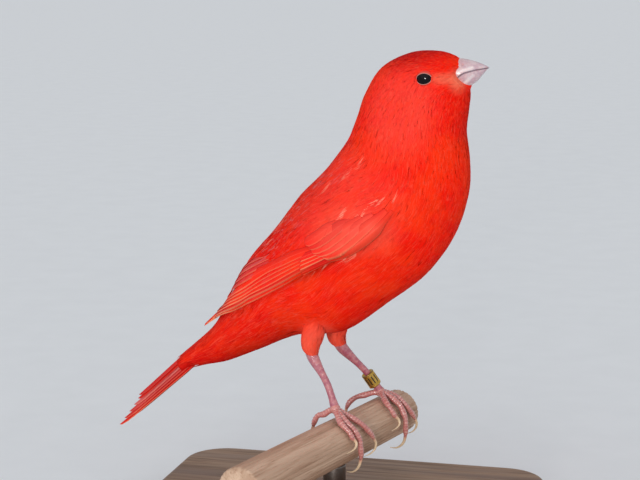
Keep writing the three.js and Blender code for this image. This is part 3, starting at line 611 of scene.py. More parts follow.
def lid_look(g):
    grain = g.noise(g.place(), 7.0, 3.0)
    pale = g.mix(grain, rgb(0.42, 0.17, 0.14), rgb(0.56, 0.27, 0.22))
    bare = (g.ramp(grain, 0.35, 0.65, 0.3, 0.6), rgb(0.55, 0.10, 0.06))
    colour = g.over(g.marked()[0], bare, (g.value("rim"), pale))
    return g.sockets(colour, grain, 0.45, 0.65, 0.0001, 0.8)


def bill_look(g):
    """Pale keratin: pinker at the root, fine growth lines along it, painted highlight streaks, painted shade
    along the mouth.
    """
    lines = g.noise(g.place((0.25, 1.0, 1.0)), 2.6, 4.0)
    cloud = g.noise(g.place(), 0.5, 2.0)
    colour = g.over(
        g.mix(g.ramp(cloud, 0.35, 0.65), rgb(0.54, 0.36, 0.41), rgb(0.65, 0.49, 0.51)),
        # Near-white streaks: painted highlight
        (g.value("horn"), rgb(0.95, 0.90, 0.88)),
        (g.ramp(lines, 0.5, 0.8, 0.0, 0.3), rgb(0.72, 0.60, 0.56)),
        (g.ramp(g.value("root"), 0.0, 1.0, 0.0, 0.8), rgb(0.66, 0.24, 0.20)),
        # A dark line along the mouth: painted shade in the seam between the mandibles
        (g.value("mouth"), rgb(0.16, 0.08, 0.11)),
    )
    under = {"Subsurface_Weight": 0.25, "Subsurface_Radius": (0.9, 0.5, 0.4), "Subsurface_Scale": 0.001}
    shine = {"Specular_IOR_Level": 0.6, "Coat_Weight": 0.7, "Coat_Roughness": 0.12}
    return g.sockets(colour, lines, 0.2, 0.3, 0.00006, 0.6, **under, **shine)


def leg_look(g):
    relief, toe = g.value("relief"), g.value("toe")
    pores = g.noise(g.place(), 5.5, 4.0)
    cloud = g.noise(g.place(), 0.7, 2.0)
    shank = g.mix(g.ramp(cloud, 0.35, 0.65), rgb(0.38, 0.085, 0.13), rgb(0.50, 0.17, 0.19))
    foot = g.mix(g.ramp(pores, 0.3, 0.7), rgb(0.50, 0.15, 0.15), rgb(0.64, 0.30, 0.25))
    # Pale on each scute's raised edge: painted highlight
    plate_highlight = g.times(g.ramp(relief, 0.45, 1.0), g.ramp(toe, 0.0, 1.0, 0.16, 0.75))
    colour = g.over(
        g.mix(toe, shank, foot),
        (plate_highlight, rgb(0.80, 0.52, 0.44)),
        # Dark in the creases between scutes and under the toes: painted shade
        (g.ramp(relief, 0.4, 0.0, 0.0, 0.7), rgb(0.36, 0.06, 0.08)),
    )
    under = {"Subsurface_Weight": 0.15, "Subsurface_Radius": (1.0, 0.3, 0.2), "Subsurface_Scale": 0.0008}
    shine = {"Specular_IOR_Level": 0.7, "Coat_Weight": 0.6, "Coat_Roughness": 0.1}
    return g.sockets(colour, pores, 0.16, 0.3, 0.00008, 0.7, **under, **shine)


def claw_look(g):
    lines = g.noise(g.place(), 3.5, 3.0)
    colour = g.mix(lines, rgb(0.62, 0.42, 0.26), rgb(0.78, 0.62, 0.42))
    colour = g.over(colour, (g.ramp(g.value("tip"), 0.3, 0.0, 0.0, 0.7), rgb(0.66, 0.24, 0.18)))
    return g.sockets(colour, lines, 0.24, 0.36, 0.00004, 0.5, Coat_Weight=0.3, Coat_Roughness=0.1)


def ring_look(g):
    """Anodised metal, gold with worn pale patches, dark plain bars and dark edges of painted shade."""
    bars_and_edge_shade = g.value("bars_and_edge_shade")
    wear = g.noise(g.place(), 2.4, 4.0, 0.7)
    fine = g.noise(g.place(), 11.0, 3.0)
    gold = g.mix(g.ramp(wear, 0.35, 0.65), rgb(0.50, 0.27, 0.04), rgb(0.78, 0.52, 0.13))
    colour = g.over(gold, (bars_and_edge_shade, rgb(0.035, 0.02, 0.01)))
    return g.sockets(colour, fine, 0.22, 0.42, 0.00003, 0.5, Metallic=g.ramp(bars_and_edge_shade, 0.2, 0.8, 1.0, 0.3))


def wood_look(g, turn, light, dark, scale, rough):
    """Wood with its grain along one axis of the piece, and fine pores."""
    inputs = {"Vector": g.place(), "Axis": (0, 0, 1), "Angle": turn}
    turned = g.add("VectorRotate", inputs, rotation_type="AXIS_ANGLE")
    along = g.vector("MULTIPLY", turned, (0.06, 1.0, 1.0))
    fibres = g.noise(along, scale, 5.0, 0.65, 0.4)
    bands = g.noise(along, scale * 0.16, 2.0, 0.5, 1.2)
    pores = g.noise(along, scale * 4.5, 2.0)
    colour = g.mix(g.ramp(bands, 0.35, 0.65), light, dark)
    colour = g.mix(g.ramp(fibres, 0.45, 0.75, 0.0, 0.55), colour, dark, "MULTIPLY")
    colour = g.over(colour, (g.ramp(pores, 0.62, 0.8, 0.0, 0.5), rgb(0.10, 0.05, 0.03)))
    relief = g.bump(pores, 0.00005, 0.5, g.bump(fibres, 0.00012, 0.6))
    return g.sockets(colour, fibres, rough, rough + 0.18, Specular_IOR_Level=0.35, Normal=relief)


def rod_look(g):
    brushed = g.noise(g.place((1.0, 1.0, 12.0)), 1.2, 3.0)
    colour = g.mix(brushed, rgb(0.13, 0.11, 0.10), rgb(0.24, 0.21, 0.19))
    return g.sockets(colour, brushed, 0.3, 0.45, 0.00003, 0.4, Metallic=1.0)


def floor_look(g):
    grain = g.noise(g.add("TexCoord", out="Object"), 60.0, 4.0)
    colour = g.mix(grain, rgb(0.80, 0.81, 0.83), rgb(0.86, 0.87, 0.89))
    return {"Base_Color": colour, "Roughness": 0.85, "Specular_IOR_Level": 0.1}


# Skin

EYE = {"x": 14.25, "z": 93.6, "radius": 2.3, "sunk": 1.5, "half_long": 1.95, "half_high": 1.35}
FLESH = ["head", "neck", "breast", "belly", "rump", "thigh_left", "thigh_right"]
# The line on the head where the feathers end at the bill, as z and x
FEATHER_LINE = np.array([
    [88.0, 26.0], [90.5, 24.6], [91.4, 23.3], [92.9, 22.0], [94.1, 21.1], [94.8, 21.1],
    [95.7, 21.4], [96.6, 22.9], [97.3, 22.5], [98.0, 21.9], [99.0, 21.4],
])
SKIN_RINGS = 190
SKIN_SIDES = 120
# The width and height of the body's unwrap. The thighs lie in the strip over it.
UNWRAP = [0.98, 0.9]


def eye_frame(side):
    """The eye's centre, and unit vectors out of the head, towards the bill and up."""
    x, z = np.array(EYE["x"]), np.array(EYE["z"])
    place = place_of(x, z)
    middle, up, deep, wide = section(place)
    on_skin = body(place, side * np.arccos(height_in(x, z, middle, up) / deep))
    out = unit((on_skin - middle) * np.array([1 / deep**2, 1 / wide**2, 1 / deep**2]))
    ahead = unit(np.array([1.0, 0.0, 0.09]) - out * out[0])
    high = np.cross(ahead, out) * -side
    return on_skin - out * EYE["sunk"], out, ahead, high


EYES = {name: eye_frame(side) for name, side in SIDES.items()}


def by_eye(points, eye, long_more, high_more):
    """Points in an eye's frame, and their distance from its centre: 1 at the opening with a margin."""
    centre, out, ahead, high = eye
    away = points - centre
    x, z = away @ ahead, away @ high
    span = np.hypot(x / (EYE["half_long"] + long_more), z / (EYE["half_high"] + high_more))
    return away @ out, x, z, span


def bill_front(p):
    """How far a point of the head lies in front of the line where the feathers end."""
    return p[..., 0] - read(FEATHER_LINE, p[..., 2])


def thigh_point(leg, t, angle, lift):
    """Points of the thigh: t from 0 in the body to 1 over the ankle, angle from the front round it."""
    ankle = np.array(leg["ankle"])
    down = leg["mid"] - ankle
    over_ankle = [(leg["thigh"][-1] + ankle) / 2, ankle + 0.06 * down, ankle + 0.34 * down]
    path = np.array([*leg["thigh"], *over_ankle])
    places = t * (len(path) - 2)
    way = unit(smooth(path, places + 0.02) - smooth(path, places - 0.02))
    side = unit(np.cross(way, np.array([1.0, 0.0, 0.0])))
    spoke = np.cross(side, way) * np.cos(angle)[..., None] + side * np.sin(angle)[..., None]
    return smooth(path, places) + spoke * (smooth(THIGH_RADII, places) + lift)[..., None]


def skin_piece():
    """The bird's body and thighs as one closed skin, inside the coat by its depth."""
    place, angle = grid(np.linspace(TAIL_ROOT - 0.3, LAST, SKIN_RINGS), circle(SKIN_SIDES))
    rings = body(place, angle, 0.9 * bulge(place, angle) - smooth(COAT[:, 0], place))
    for centre, out, _, _ in EYES.values():
        away = rings - centre
        near = 1 - step(1.4, 2.5, np.linalg.norm(away - (away @ out)[..., None] * out, axis=-1))
        rings -= out * (0.4 * near * ((away @ out) > 0))[..., None]
    rings[..., 1] *= 1 - 0.28 * step(0.0, 1.2, bill_front(rings))
    points, faces = loft(rings)
    corners, _ = corners_of(faces)
    u = np.append(angle.ravel() / TAU, [0.5, 0.5])[corners]
    v = np.append(place.ravel() / LAST, [0.0, 1.0])[corners]
    wrap = u[: len(faces[0]) * 4].reshape(-1, 4)
    wrap[(np.ptp(wrap, 1) > 0.5)[:, None] & (wrap < 0.5)] += 1
    uv = np.stack([u, v], -1) * UNWRAP
    skin = piece("skin", points, faces, material("skin", skin_look), "plumage", FLESH, uv)
    for leg in LEGS.values():
        join_thigh(skin, leg)


def join_thigh(skin, leg):
    t, angle = grid(np.linspace(0, 1, 24), circle(40))
    points, faces = loft(thigh_point(leg, t, angle, np.full_like(t, -0.7)))
    uv = np.stack([0.4 + 0.2 * angle.ravel() / TAU, 0.92 + 0.06 * t.ravel()], -1)
    uv = np.append(uv, [[0.5, 0.92], [0.5, 0.98]], 0)
    thigh = piece("thigh", points, faces, skin.data.materials[0], "plumage", uv=uv)
    cut = skin.modifiers.new("thigh", "BOOLEAN")
    cut.operation = "UNION"
    cut.solver = "EXACT"
    cut.object = thigh
    bpy.context.view_layer.update()
    whole = bpy.data.meshes.new_from_object(skin.evaluated_get(bpy.context.evaluated_depsgraph_get()))
    skin.modifiers.clear()
    skin.data = whole
    bpy.data.objects.remove(thigh)


# Coat: each strand is two triangular rings and a tip

STRAND_STEPS = [0.0, 0.5, 1.0]
STRAND_WIDTH = [1.15, 1.75]
STRAND_POINTS = 7
STRAND_CORNERS = ((-1, 0), (1, 0), (0, 0.35))
STRAND_FACES = np.array([
    [0, 2, 1],
    *([0, 1, 4], [0, 4, 3], [3, 4, 6]),
    *([1, 2, 5], [1, 5, 4], [4, 5, 6]),
    *([2, 0, 3], [2, 3, 5], [5, 3, 6]),
])
STRAND_UV = np.array([
    [0, 0], [0.003, 0], [0.0015, 0], [0, 0.0014], [0.003, 0.0014], [0.0015, 0.0014], [0.0015, 0.003],
]) - 0.0015
ROUNDED = 0.3
FAN = 0.3
BODY_STRANDS = 18
THIGH_STRANDS = 12
# How many places are tried for tufts, before those too near to another are left out
BODY_PLACES = 170000
THIGH_PLACES = 16000
COAT_BANDS = [
    ("rump", -1.0, 4.3, "rump"),
    ("belly", 4.3, 6.55, "belly"),
    ("breast_low", 6.55, 8.4, "breast"),
    ("breast_high", 8.4, 10.3, "breast"),
    ("neck", 10.3, 12.3, "neck"),
    ("face", 12.3, 14.6, "head"),
    ("crown", 14.6, 20.0, "head"),
]
THIGH_COAT = np.array([
    [0.8, 5.4, 0.24, 0.80],
    [0.7, 4.2, 0.22, 0.70],
    [0.6, 3.4, 0.20, 0.60],
    [0.3, 3.0, 0.14, 0.46],
    [0.2, 2.6, 0.11, 0.42],
])
# Pale feather tips on the wing's front and shoulder, and the wisps of down under its edge, as places in the
# wing's frame with their half length, half width and strength. They lie a little steeper than the wing.
PALE_TIPS = [
    [10.3, 3.9, 1.5, 0.30, 0.8],
    [14.0, 6.4, 1.3, 0.45, 0.75],
    [16.8, 5.6, 1.3, 0.40, 0.7],
    [22.6, 5.9, 1.6, 0.50, 0.45],
    [6.0, 4.8, 1.5, 0.50, 0.7],
    [3.6, 3.9, 1.4, 0.40, 0.6],
    [0.2, 2.2, 1.2, 0.35, 0.5],
    [15.8, 14.2, 1.6, 0.5, 0.4],
    [9.5, 14.2, 1.5, 0.5, 0.4],
    [4.0, 15.0, 2.0, 0.4, 0.5],
    [26.2, -3.4, 1.5, 0.35, 0.9],
    [20.8, -3.9, 1.2, 0.8, 0.75],
    [18.8, -4.6, 1.0, 0.5, 0.6],
    [30.5, -3.8, 1.4, 0.3, 0.35],
    [33.5, 12.0, 2.0, 0.25, 0.6],
    [38.5, 9.6, 1.9, 0.22, 0.5],
]
# The top of the wing's pale patch, in the wing's frame over its lower edge
PATCH_TOP = np.array(
    [[1.0, 0.0], [5.5, 1.3], [8.6, 2.1], [10.8, 3.0], [14.8, 4.0], [19.5, 4.4], [23.5, 2.8]]
)


def tangents(surface, u, v):
    """Derivatives of a surface along its two coordinates, and its outward normal."""
    e = 0.01
    flat = np.zeros_like(u)
    du = (surface(u + e, v, flat) - surface(u - e, v, flat)) / (2 * e)
    dv = (surface(u, v + e, flat) - surface(u, v - e, flat)) / (2 * e)
    return du, dv, unit(np.cross(du, dv))


def scatter(rng, surface, u_range, size_at, allowed, count):
    """Roots spread evenly over a surface, no two nearer than the spacing there."""
    u = rng.uniform(*u_range, count)
    v = rng.uniform(-math.pi, math.pi, count)
    du, dv, _ = tangents(surface, u, v)
    spacing = size_at(u)[3]
    weight = np.linalg.norm(np.cross(du, dv), axis=-1) / spacing**2
    keep = (rng.uniform(0, 1, count) < weight / np.quantile(weight, 0.995)) & allowed(u, v)
    u, v, spacing = u[keep], v[keep], spacing[keep]
    places = surface(u, v, np.zeros(len(u)))
    tree = kdtree.KDTree(len(u))
    for i, p in enumerate(places):
        tree.insert(p, i)
    tree.balance()
    gone = np.zeros(len(u), bool)
    chosen = []
    for i in range(len(u)):
        if gone[i]:
            continue
        chosen.append(i)
        for _, j, _ in tree.find_range(places[i], spacing[i]):
            gone[j] = True
    return u[chosen], v[chosen]


def moved(u, v, du, dv, move):
    """Surface coordinates after a step in space."""
    pairs = ((du, du), (dv, dv), (du, dv), (du, move), (dv, move))
    uu, vv, uv, mu, mv = (np.einsum("ij,ij->i", a, b) for a, b in pairs)
    det = np.maximum(uu * vv - uv * uv, 1e-9)
    return u + (mu * vv - mv * uv) / det, v + (mv * uu - mu * uv) / det


def strands(rng, surface, u, v, size_at, flow, each, rise):
    """Tufts of thin tapered strands rooted at u, v: points, normals, roots and the values for the colour."""
    tufts = len(u)
    n = tufts * each
    tuft = np.repeat(np.arange(tufts), each)
    depth, length, width, spacing = size_at(u)
    turn = rng.normal(0, 0.06, tufts)
    aside = np.tile(np.linspace(-1, 1, each), tufts) + rng.normal(0, 0.12, n)
    tuft_length = length * rng.uniform(0.88, 1.1, tufts)
    reach = tuft_length[tuft] * (1 - 0.3 * aside**2) * rng.uniform(0.88, 1.08, n)
    lift = rng.normal(0, 0.04, tufts)[tuft] * depth[tuft] + rng.normal(0, 0.025, n)
    su, sv = u[tuft].copy(), v[tuft].copy()
    du, dv, _ = tangents(surface, su, sv)
    offset = rng.normal(0, 0.22, n) * spacing[tuft] + 0.4 * aside * spacing[tuft]
    sv += offset / np.linalg.norm(dv, axis=-1)
    su += rng.normal(0, 0.2, n) * spacing[tuft] / np.linalg.norm(du, axis=-1)
    path = []
    frames = []
    last = 0.0
    for t in STRAND_STEPS:
        du, dv, normal = tangents(surface, su, sv)
        way = flow(su, sv, du, normal)
        bend = turn[tuft] + FAN * aside * (1 - 0.75 * t)
        side = np.cross(normal, way)
        way = unit(way * np.cos(bend)[..., None] + side * np.sin(bend)[..., None])
        if t > last:
            su, sv = moved(su, sv, du, dv, way * ((t - last) * reach)[..., None])
            last = t
        height = -depth[tuft] * (1 - t) ** 3.5 - 0.04 + (rise(su, sv) + lift) * t
        path.append(surface(su, sv, height))
        frames.append((side, normal))
    widths = width[tuft] * rng.uniform(0.75, 1.2, n)
    points = np.empty((n, STRAND_POINTS, 3))
    normals = np.empty((n, STRAND_POINTS, 3))
    for k, share in enumerate(STRAND_WIDTH):
        side, normal = frames[k]
        half = (widths * share / 2)[..., None]
        for corner, (across, up) in enumerate(STRAND_CORNERS, 3 * k):
            points[:, corner] = path[k] + side * half * across + normal * half * up
            normals[:, corner] = unit(normal + ROUNDED * across * side)
    points[:, -1] = path[2]
    normals[:, -1] = frames[2][1]
    made = np.linalg.norm(path[2] - path[0], axis=-1)
    kept = (made < 1.15 * reach + 0.8) & (made > 0.4 * reach)
    values = {
        "tint": np.repeat(rng.uniform(0, 1, tufts)[tuft], STRAND_POINTS),
        "shade": np.repeat(rng.uniform(0, 1, n), STRAND_POINTS),
        "along": np.tile([0, 0, 0, 0.5, 0.5, 0.5, 1.0], n),
    }
    values = {key: value.reshape(-1, STRAND_POINTS)[kept] for key, value in values.items()}
    return points[kept], normals[kept], u[tuft][kept], v[tuft][kept], values


def strand_piece(name, made, mask, u_last, look, solid):
    """Some strands as one piece. In the unwrap each is a small patch at its root's place on the skin's."""
    points, normals, root_u, root_v, values = made
    faces = (STRAND_FACES + STRAND_POINTS * np.arange(mask.sum())[:, None, None]).reshape(-1, 3)
    roots = np.stack([root_v[mask] / TAU % 1.0, root_u[mask] / u_last], -1)
    uv = np.clip((roots[:, None] + STRAND_UV).reshape(-1, 2), 0, 1) * UNWRAP
    values = {key: value[mask].ravel() for key, value in values.items()}
    points, normals = points[mask].reshape(-1, 3), normals[mask].reshape(-1, 3)
    piece(name, points, [faces], look, "plumage", [solid], uv, values, normals)


def off_eye(points):
    """Moves points of the coat out of the eyes' openings, along the skin."""
    for eye in EYES.values():
        h, x, z, span = by_eye(points, eye, 0.35, 0.38)
        push = np.where((span < 1) & (h > -0.5), 1 / np.maximum(span, 0.05) - 1, 0)
        points = points + (x * push)[..., None] * eye[2] + (z * push)[..., None] * eye[3]
    return points


def body_flow(u, v, du, normal):
    """The lie of the body's feathers: tailwards, along the wing where that covers them, and a little wavy."""
    p = body(u, v)
    a, _, b = wing_frame(p)
    wing = step(-0.8, 0.6, b) * step(-1, 4, a) * (1 - step(50, 60, a))
    along = unit(level(np.array([WING_ALONG[0], 0, WING_ALONG[1]]), normal))
    way = unit(-unit(du) * (1 - wing)[..., None] + along * wing[..., None])
    wave = 0.10 * np.sin(0.31 * p[..., 0] + 0.23 * p[..., 2] + 0.4 * p[..., 1])
    wave += 0.08 * np.sin(0.71 * p[..., 2] - 0.52 * p[..., 0])
    return unit(way + np.cross(normal, way) * wave[..., None])


def body_rise(u, v):
    """How far the coat's tips rise: they sink where flight feathers and their coverts lie over the coat."""
    a, _, b = wing_frame(body(u, v))
    inside = step(-0.2, 0.4, b) * (1 - step(66, 68, a))
    strips = step(26, 29, a) * (1 - step(4.0, 5.2, b))
    patch = step(2.5, 5.0, a) * (1 - step(23.5, 25.5, a)) * (1 - step(-0.5, 0.7, b - read(PATCH_TOP, a)))
    fronts = step(20, 22, a) * (1 - step(29.5, 31.5, a)) * (1 - step(3.2, 4.2, b))
    return 0.10 - 1.1 * inside * np.maximum.reduce([strips, step(42, 52, a), patch, fronts])


def body_size(u):
    return sizes_at(COAT, np.clip(u, 0, LAST))


def pale_tips(p):
    """How far a strand that ends at a point is one of the pale ones."""
    a, c, _ = wing_frame(p)
    most = np.zeros(len(p))
    for at, across, half_long, half_wide, strength in PALE_TIPS:
        along = (a - at) * 0.93 + (c - across) * -0.36
        aside = (a - at) * 0.36 + (c - across) * 0.93
        away = np.hypot(along / half_long, aside / (0.7 * half_wide))
        most = np.maximum(most, strength * step(1.3, 0.5, away))
    return most


def coated(u, v):
    """Where feathers grow on the body: off the eyes, behind the bill, and down to the tail's root."""
    p = body(u, v)
    clear = (u > 2.5 - 0.2 * np.cos(v)) & (bill_front(p) < 0.1)
    for eye in EYES.values():
        h, _, _, span = by_eye(p, eye, 0.25, 0.25)
        clear &= ~((span < 1) & (h > 0))
    return clear


def body_coat(look):
    rng = np.random.default_rng(11)
    u, v = scatter(rng, coat_point, (TAIL_ROOT, LAST - 0.02), body_size, coated, BODY_PLACES)
    made = strands(rng, coat_point, u, v, body_size, body_flow, BODY_STRANDS, body_rise)
    points = off_eye(made[0].reshape(-1, 3)).reshape(made[0].shape)
    made = (points, *made[1:])
    made[4]["wisp"] = np.repeat(pale_tips(points[:, -1])[:, None], STRAND_POINTS, 1)
    for name, low, high, solid in COAT_BANDS:
        for side_name, side in SIDES.items():
            mask = (made[2] >= low) & (made[2] < high) & (np.sin(made[3]) * side > 0)
            strand_piece("coat_" + name + "_" + side_name, made, mask, LAST, look, solid)


def thigh_coats(look):
    for seed, (name, leg) in enumerate(LEGS.items()):
        rng = np.random.default_rng(40 + seed)

        def surface(u, v, height, leg=leg):
            return thigh_point(leg, 1 - u, v, height - 0.1)

        def size_at(u):
            return sizes_at(THIGH_COAT, np.clip((1 - u) * 4, 0, 4))

        def flow(u, v, du, normal):
            return unit(-unit(du) + level(np.array([-0.4, 0.0, 0.0]), normal))

        u, v = scatter(rng, surface, (0.25, 0.97), size_at, lambda u, v: u > 0, THIGH_PLACES)
        made = strands(rng, surface, u, v, size_at, flow, THIGH_STRANDS, lambda u, v: 0.1)
        strand_piece("coat_thigh_" + name, made, np.ones(len(made[0]), bool), 1.0, look, "thigh_" + name)


# Wings and tail

# The open lower edges of the outer flight feathers, lowest first, and of the feathers over their roots, as
# places in the wing's frame. The greater coverts have their half widths too.
PRIMARIES = [
    [[21, -1.9], [30, -1.4], [36, -1.4], [42, -1.3], [49, -0.95], [56, -0.35], [62, -0.25], [66.6, -0.35]],
    [[21, -1.3], [30, -0.8], [40, -0.7], [48, -0.25], [57, 0.1], [62, 0.05], [66.1, -0.1]],
    [[21, -0.6], [30, -0.05], [40, 0.05], [48, 0.5], [57, 0.65], [64.8, 0.35]],
    [[21, 0.1], [29.5, 0.75], [40, 1.1], [48, 1.25], [57, 1.2], [62.8, 0.85]],
    [[21, 0.8], [29, 1.5], [40, 2.1], [48, 2.1], [55, 1.8], [60.4, 1.4]],
    [[21, 1.5], [28, 2.2], [34, 2.6], [41, 3.1], [50, 2.7], [57.8, 2.0]],
]
FRONT_COVERTS = [
    [[19, -2.3], [22, -2.1], [26, -1.75], [30.8, -1.4]],
    [[18, -1.5], [21, -1.2], [25, -0.9], [30.2, -0.5]],
    [[18, -0.8], [21, -0.45], [25, -0.1], [29.6, 0.35]],
    [[18, -0.1], [21, 0.3], [25, 0.75], [28.9, 1.25]],
]
GREATER_COVERTS = [
    ([[1.0, 0.4], [6, -0.9], [12, -1.9], [17, -1.9], [21.8, -1.2]], 1.25),
    ([[2.2, 1.4], [8, 0.5], [14, -0.5], [18, -0.6], [22.8, -0.1]], 1.5),
    ([[5.5, 2.3], [11, 1.6], [16, 0.8], [20, 0.7], [23.8, 1.1]], 1.6),
    ([[8.5, 3.2], [13, 2.7], [18, 2.1], [21, 2.0], [24.6, 2.3]], 1.6),
    ([[11.5, 4.2], [15.5, 3.9], [20, 3.4], [24.8, 3.5]], 1.6),
    ([[14.0, 5.3], [18, 5.0], [22, 4.7], [25.2, 4.8]], 1.5),
]
INNER_FEATHERS = 5
# How the feathers of these four groups rise, as wing_blade takes it
OUTER_RISE = (0.35, 0.5, 23, 29)
INNER_RISE = (0.40, 1.3, 37, 47)
FRONT_RISE = (0.55, 0.6, 0.0, 0.35)
GREATER_RISE = (0.75, 0.9, 0.0, 0.35)
BLADE_ROWS = 56
BLADE_COLUMNS = 9
WING_VANE = 0.12
TAIL_VANE = 0.18
TAIL_BASE = np.array([-51.4, 0, 15.6])
TAIL_LINE = np.array([-71.3, 0, -4.0]) - TAIL_BASE
TAIL_LENGTH = np.linalg.norm(TAIL_LINE)
TAIL_WAY = unit(TAIL_LINE)
TAIL_UP = np.array([TAIL_WAY[2], 0, -TAIL_WAY[0]])
# Each pair of tail feathers, middle pair first: its length, tint and share of painted sheen, and how pale its
# edge is
TAIL_PAIRS = [
    (18.6, 0.1, 0.1, 0.08),
    (19.4, 0.5, 0.0, 0.1),
    (21.4, 0.4, 0.7, 0.3),
    (23.6, 0.4, 0.3, 0.15),
    (25.8, 0.0, 0.1, 0.3),
    (27.9, 0.25, 0.0, 0.45),
]


def feather_width(t, root, tip, close=0.72):
    """A feather's half width by the share of its length: it grows from the root and closes in a round tip."""
    grow = np.minimum(1, root + (1 - root) * t / 0.3)
    done = np.clip((t - close) / (1 - close), 0, 1)
    return grow * (1 - (1 - tip) * (1 - np.sqrt(1 - done**2)))


def blade_grid(rng, rows, ragged, from_t):
    """Shares of a feather's length and, from -1 to 1, of its width, and how far its sides are frayed."""
    t, s = grid(np.linspace(0, 1, rows), np.linspace(-1, 1, BLADE_COLUMNS))
    return t, s, 1 + ragged * rng.normal(0, 1, t.shape) * step(from_t, 1.0, t) * (np.abs(s) > 0.9)


def blade(rng, t, s, sheet, up, height, thick, across, run, edge, tint, grey):
    """A feather as a thin closed sheet raised off another, with the values for its colour."""
    layers = []
    for drop in (0.0, thick):
        down = drop * (1 - 0.55 * np.abs(s) ** 3) * (1 - 0.5 * t)
        layers.append((sheet + up * (height - down)[..., None]).reshape(-1, 3))
    points = np.concatenate(layers)
    values = {
        "tint": np.full(t.shape, tint),
        "grey": np.full(t.shape, grey),
        "tip": t,
        "across": across,
        "run": t * run + rng.uniform(0, 40),
        "edge": edge * step(0.05, 0.3, t),
    }
    values = {key: np.tile(value.ravel(), 2) for key, value in values.items()}
    return points, outward(points, sheet_faces(*t.shape)), values


def feather_piece(name, blades, look, solid):
    """Feathers as one piece, each with its own square of the unwrap."""
    points, faces = merged([made[:2] for made in blades])
    values = {key: np.concatenate([v[key] for _, _, v in blades]) for key in blades[0][2]}
    count = math.ceil(math.sqrt(len(blades)))
    uv = []
    for i, (_, _, v) in enumerate(blades):
        u = (v["across"] + 1) / 2 * 0.4
        u[len(u) // 2 :] += 0.5
        run = v["run"] - v["run"].min()
        w = run / run.max()
        across = (i % count + 0.05 + 0.95 * u) / count
        uv.append(np.stack([across, (i // count + 0.05 + 0.9 * w) / count], -1))
    piece(name, points, faces, look, "flight_feathers", [solid], np.concatenate(uv), values)


def wing_sheet(side, a, c):
    """Points of the bird's side under the folded wing's feathers, by place in the wing's frame."""
    x = WING_FRONT[0] + a * WING_ALONG[0] + c * WING_ACROSS[0]
    z = WING_FRONT[1] + a * WING_ALONG[1] + c * WING_ACROSS[1]
    middle, up, deep, wide = section(place_of(x, z))
    lift = bulge_at(a, c) + 0.35
    share = np.clip(1 - (height_in(x, z, middle, up) / (deep + lift)) ** 2, 0, None)
    return np.stack([x, side * np.hypot((wide + lift) * np.sqrt(share), 0.6), z], -1)


def wing_surface(side, a, c):
    """The sheet under the wing's feathers and its outward normals."""
    e = 0.25
    along = wing_sheet(side, a + e, c) - wing_sheet(side, a - e, c)
    across = wing_sheet(side, a, c + e) - wing_sheet(side, a, c - e)
    normal = unit(np.cross(along, across))
    return wing_sheet(side, a, c), normal * (side * np.sign(normal[..., 1:2]))


def under_back(a, c):
    """Places in the wing's frame, kept softly below the line of the back."""
    over = np.clip(1.05 - (read(WING_BACK, a) - c), 0, None)
    return np.where(over > 0, c - over + 0.8 - 0.8 * np.exp(-over / 0.8), c)


def wing_blade(
    rng, side, line, half, rise, slope, edge,
    rows=BLADE_ROWS, hinge=-1, close=0.72, tip=0.12, tint=None, grey=0.0,
):
    """A feather laid on the wing, along a line of places a and c. A hinge of -1 keeps its lower edge on it.
    Rise says how it comes out from under the others: its height, how much lower its root is, and from where
    to where it rises, as shares of its length below 1 or else as places in the wing's frame."""
    t, s, fray = blade_grid(rng, rows, 0.03, 0.4)
    line = np.array(line, float)
    last = len(line) - 1
    way = unit(smooth(line, np.clip(t + 0.02, 0, 1) * last) - smooth(line, np.clip(t - 0.02, 0, 1) * last))
    middle = smooth(line, t * last)
    _, facing = wing_surface(side, middle[:, 0, 0], middle[:, 0, 1])
    width = half * feather_width(t, 0.5, tip, close) * fray
    off = (s - hinge) * width * np.maximum(np.abs(facing[:, 1]), 0.4)[:, None]
    a = middle[..., 0] - way[..., 1] * off
    sheet, normal = wing_surface(side, a, under_back(a, middle[..., 1] + way[..., 0] * off))
    high, sunk, start, end = rise
    raised = high - sunk * (1 - step(start, end, t if end < 1 else a))
    raised = raised - slope * s * width - 0.08 * s**2 + 0.06 * (s == 0)
    tint = rng.uniform() if tint is None else tint
    run = np.linalg.norm(np.diff(line, axis=0), axis=1).sum() / half
    return blade(rng, t, s, sheet, normal, raised, WING_VANE, -s, run, edge, tint, grey)


def wings(look):
    for seed, (name, side) in enumerate(SIDES.items()):
        rng = np.random.default_rng(70 + seed)
        flight = []
        for i, line in enumerate(PRIMARIES):
            edge = 0.75 - 0.06 * i
            flight.append(wing_blade(rng, side, line, 1.45, OUTER_RISE, 0.22, edge, close=0.86, tip=0.1))
        for k in range(1, INNER_FEATHERS + 1):
            end = 54.8 - 1.9 * (k - 1)
            line = [[24, 2.2 + 0.75 * k], [33, 2.7 + k], [41, 3.1 + 1.15 * k], [end, 2.5 + 1.05 * k]]
            # The inner feathers carry painted sheen, more on each one nearer the back
            tones = {"tint": 0.1 + 0.05 * (k % 2), "grey": 0.05 + 0.05 * k}
            flight.append(wing_blade(rng, side, line, 1.7, INNER_RISE, 0.2, 0.22, close=0.8, **tones))
        feather_piece("flight_" + name, flight, look, "wing_" + name)
        coverts = []
        for line in FRONT_COVERTS:
            sizes = {"rows": 36, "close": 0.9, "tip": 0.3}
            coverts.append(wing_blade(rng, side, line, 0.95, FRONT_RISE, 0.24, 0.6, **sizes))
        for i, (line, half) in enumerate(GREATER_COVERTS):
            edge = 0.45 - 0.05 * i
            sizes = {"rows": 44, "hinge": 0.0, "close": 0.75, "tip": 0.2}
            coverts.append(wing_blade(rng, side, line, half, GREATER_RISE, 0.16, edge, **sizes))
        feather_piece("coverts_" + name, coverts, look, "wing_" + name)


